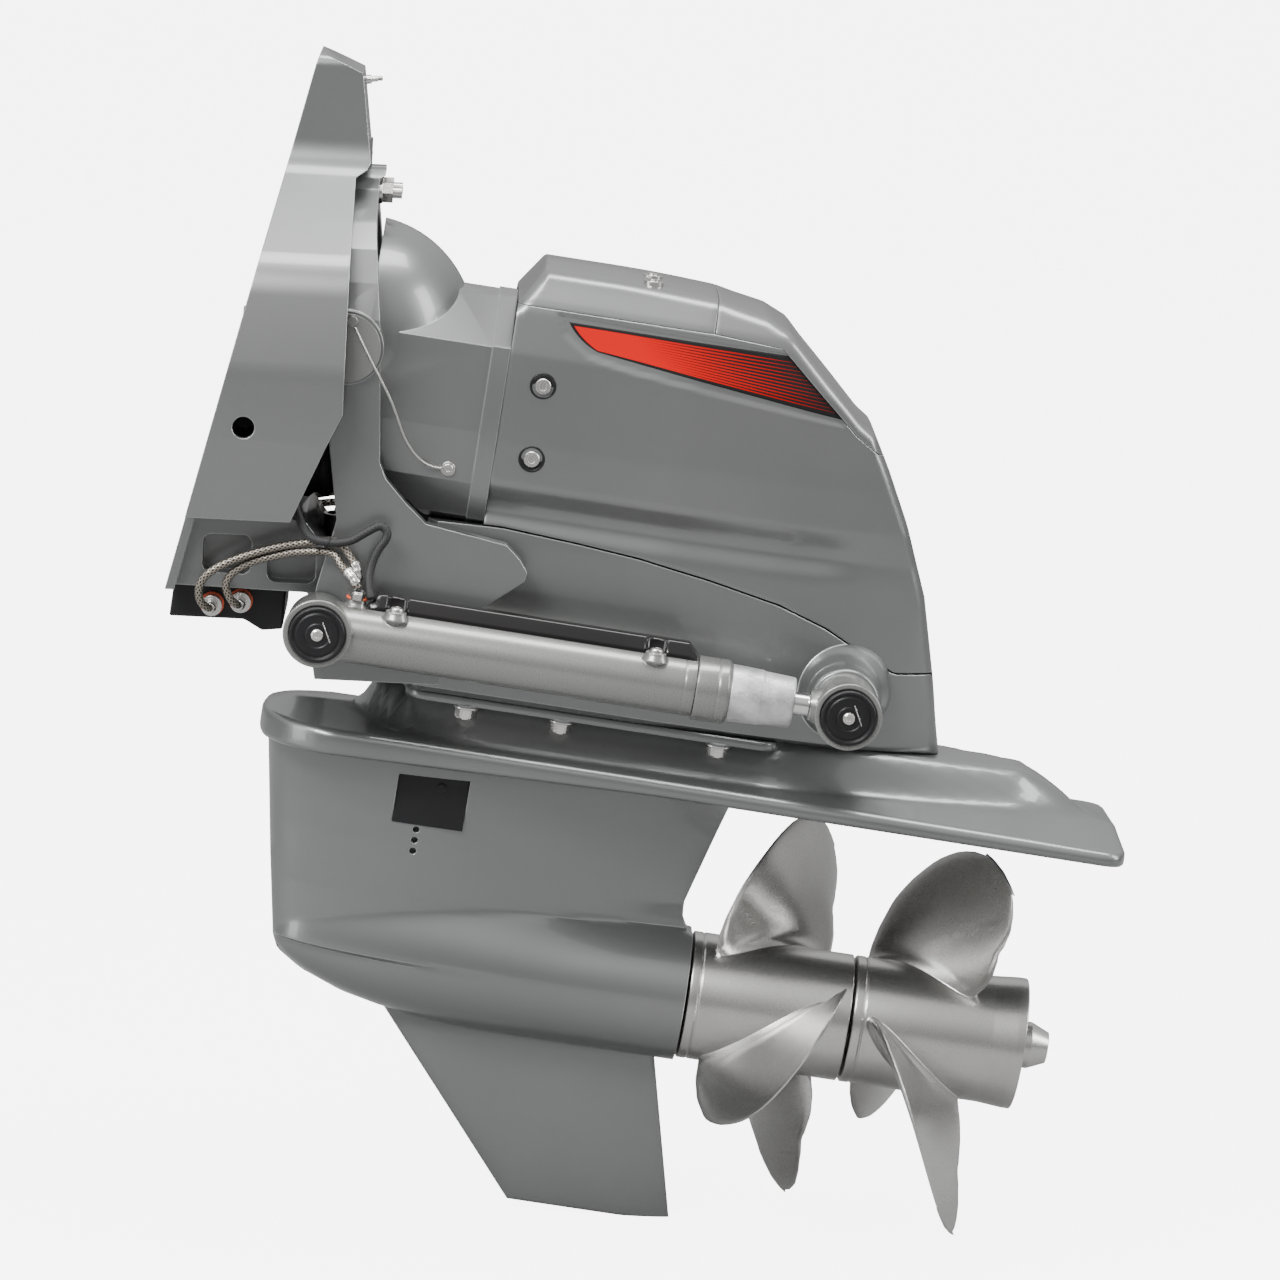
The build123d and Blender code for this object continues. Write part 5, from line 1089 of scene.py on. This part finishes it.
inner = mixed(tree, dark_line, warm, (0.012, 0.01, 0.01))
edge_x, edge_y = (maths(tree, "MINIMUM", spot[n], maths(tree, "SUBTRACT", 1.0, spot[n])) for n in (0, 1))
rim = maths(tree, "MAXIMUM", ranged(tree, edge_x, 0.016, 0.012), ranged(tree, edge_y, 0.1, 0.085))
fill(tree, inputs["Base Color"], mixed(tree, rim, inner, 0.01))
count_x, count_z = 61, 25
for side in SIDES:
    rings = []
    for i in range(count_x):
        u = i / (count_x - 1)
        foot, head = (fore.lerp(aft, u) for fore, aft in (LABEL_FOOT, LABEL_HEAD))
        rings.append([])
        for j in range(count_z):
            v = j / (count_z - 1)
            x, z = foot.lerp(head, v)
            bow = LABEL_BOW * v * (1 - v) * (1 - u) ** 8
            x, z = x - bow, z - 0.8 * bow
            rings[-1].append((x, side * (side_y(x, z) + LABEL_LIFT), z))
    sheet = skin(side_word(side) + "_label", rings, label_paint, False, False)
    lay = sheet.data.uv_layers.new(name="run")
    for loop in sheet.data.loops:
        i, j = divmod(loop.vertex_index, count_z)
        lay.data[loop.index].uv = (i / (count_x - 1), j / (count_z - 1))
    if sum((f.normal for f in sheet.data.polygons), Vector()).y * side < 0:
        sheet.data.flip_normals()
    modified(sheet, "SOLIDIFY", thickness=0.0003, offset=-1)
    flattened(sheet)
    settle(sheet, body="drive", slot="black_plastic")

# Cast pieces: a copy of a CAD solid with its flat faces joined and its edges rounded, in millimetres
MERGE = 1e-5
for node, width in (("transom_shield", 2.2), ("gimbal_ring", 3.0), ("bell_housing", 2.5),
                    ("hydraulic_manifold", 2.0)):
    mesh = NODES[node].data.copy()
    bm = opened(mesh, MERGE)
    bmesh.ops.dissolve_limit(bm, angle_limit=radians(0.6), verts=bm.verts, edges=bm.edges)
    for face in bm.faces:
        face.smooth = True
    made = add_object(node + "_form", stored(bm, mesh), finish_of(node))
    modified(made, "BEVEL", width=width / 1000, segments=3, limit_method="ANGLE", angle_limit=radians(28),
             use_clamp_overlap=True)
    flattened(made, 11)
    settle(made, node)

# Flexing pieces, each cut into two halves that meet on the ring
for node, height, *stations in (("universal_joint_bellows", 0, 0.022, 0.08, 0.138),
                                ("exhaust_bellows", -0.12, -0.007, 0.042, 0.0915),
                                ("universal_joint", 0, 0.065, 0.095, 0.125)):
    start, middle, end = (Vector((x, 0, height)) for x in stations)
    for label, fore, bodies, near, far in (("fore", True, ("transom", "ring"), start, middle),
                                           ("aft", False, ("ring", "drive"), middle, end)):
        bm = opened(NODES[node].data, MERGE)
        cut = bmesh.ops.bisect_plane(bm, geom=bm.verts[:] + bm.edges[:] + bm.faces[:], plane_co=middle,
                                     plane_no=(1, 0, 0), clear_outer=fore, clear_inner=not fore)
        rim = [part for part in cut["geom_cut"] if isinstance(part, bmesh.types.BMEdge)]
        bmesh.ops.triangle_fill(bm, edges=rim, use_beauty=True)
        bmesh.ops.recalc_face_normals(bm, faces=bm.faces)
        mesh = stored(bm, bpy.data.meshes.new(f"{node}_{label}"))
        made = add_object(f"{node}_{label}", mesh, finish_of(node))
        smoothed(mesh, 40)
        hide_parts(node)
        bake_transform(made)

for name, shown in NODES.items():
    shown.data.materials.clear()
    shown.data.materials.append(cylinder_paint if name == "hinge_covers" else
                                gear_steel if name == "swivel_bushes" else finish_of(name))
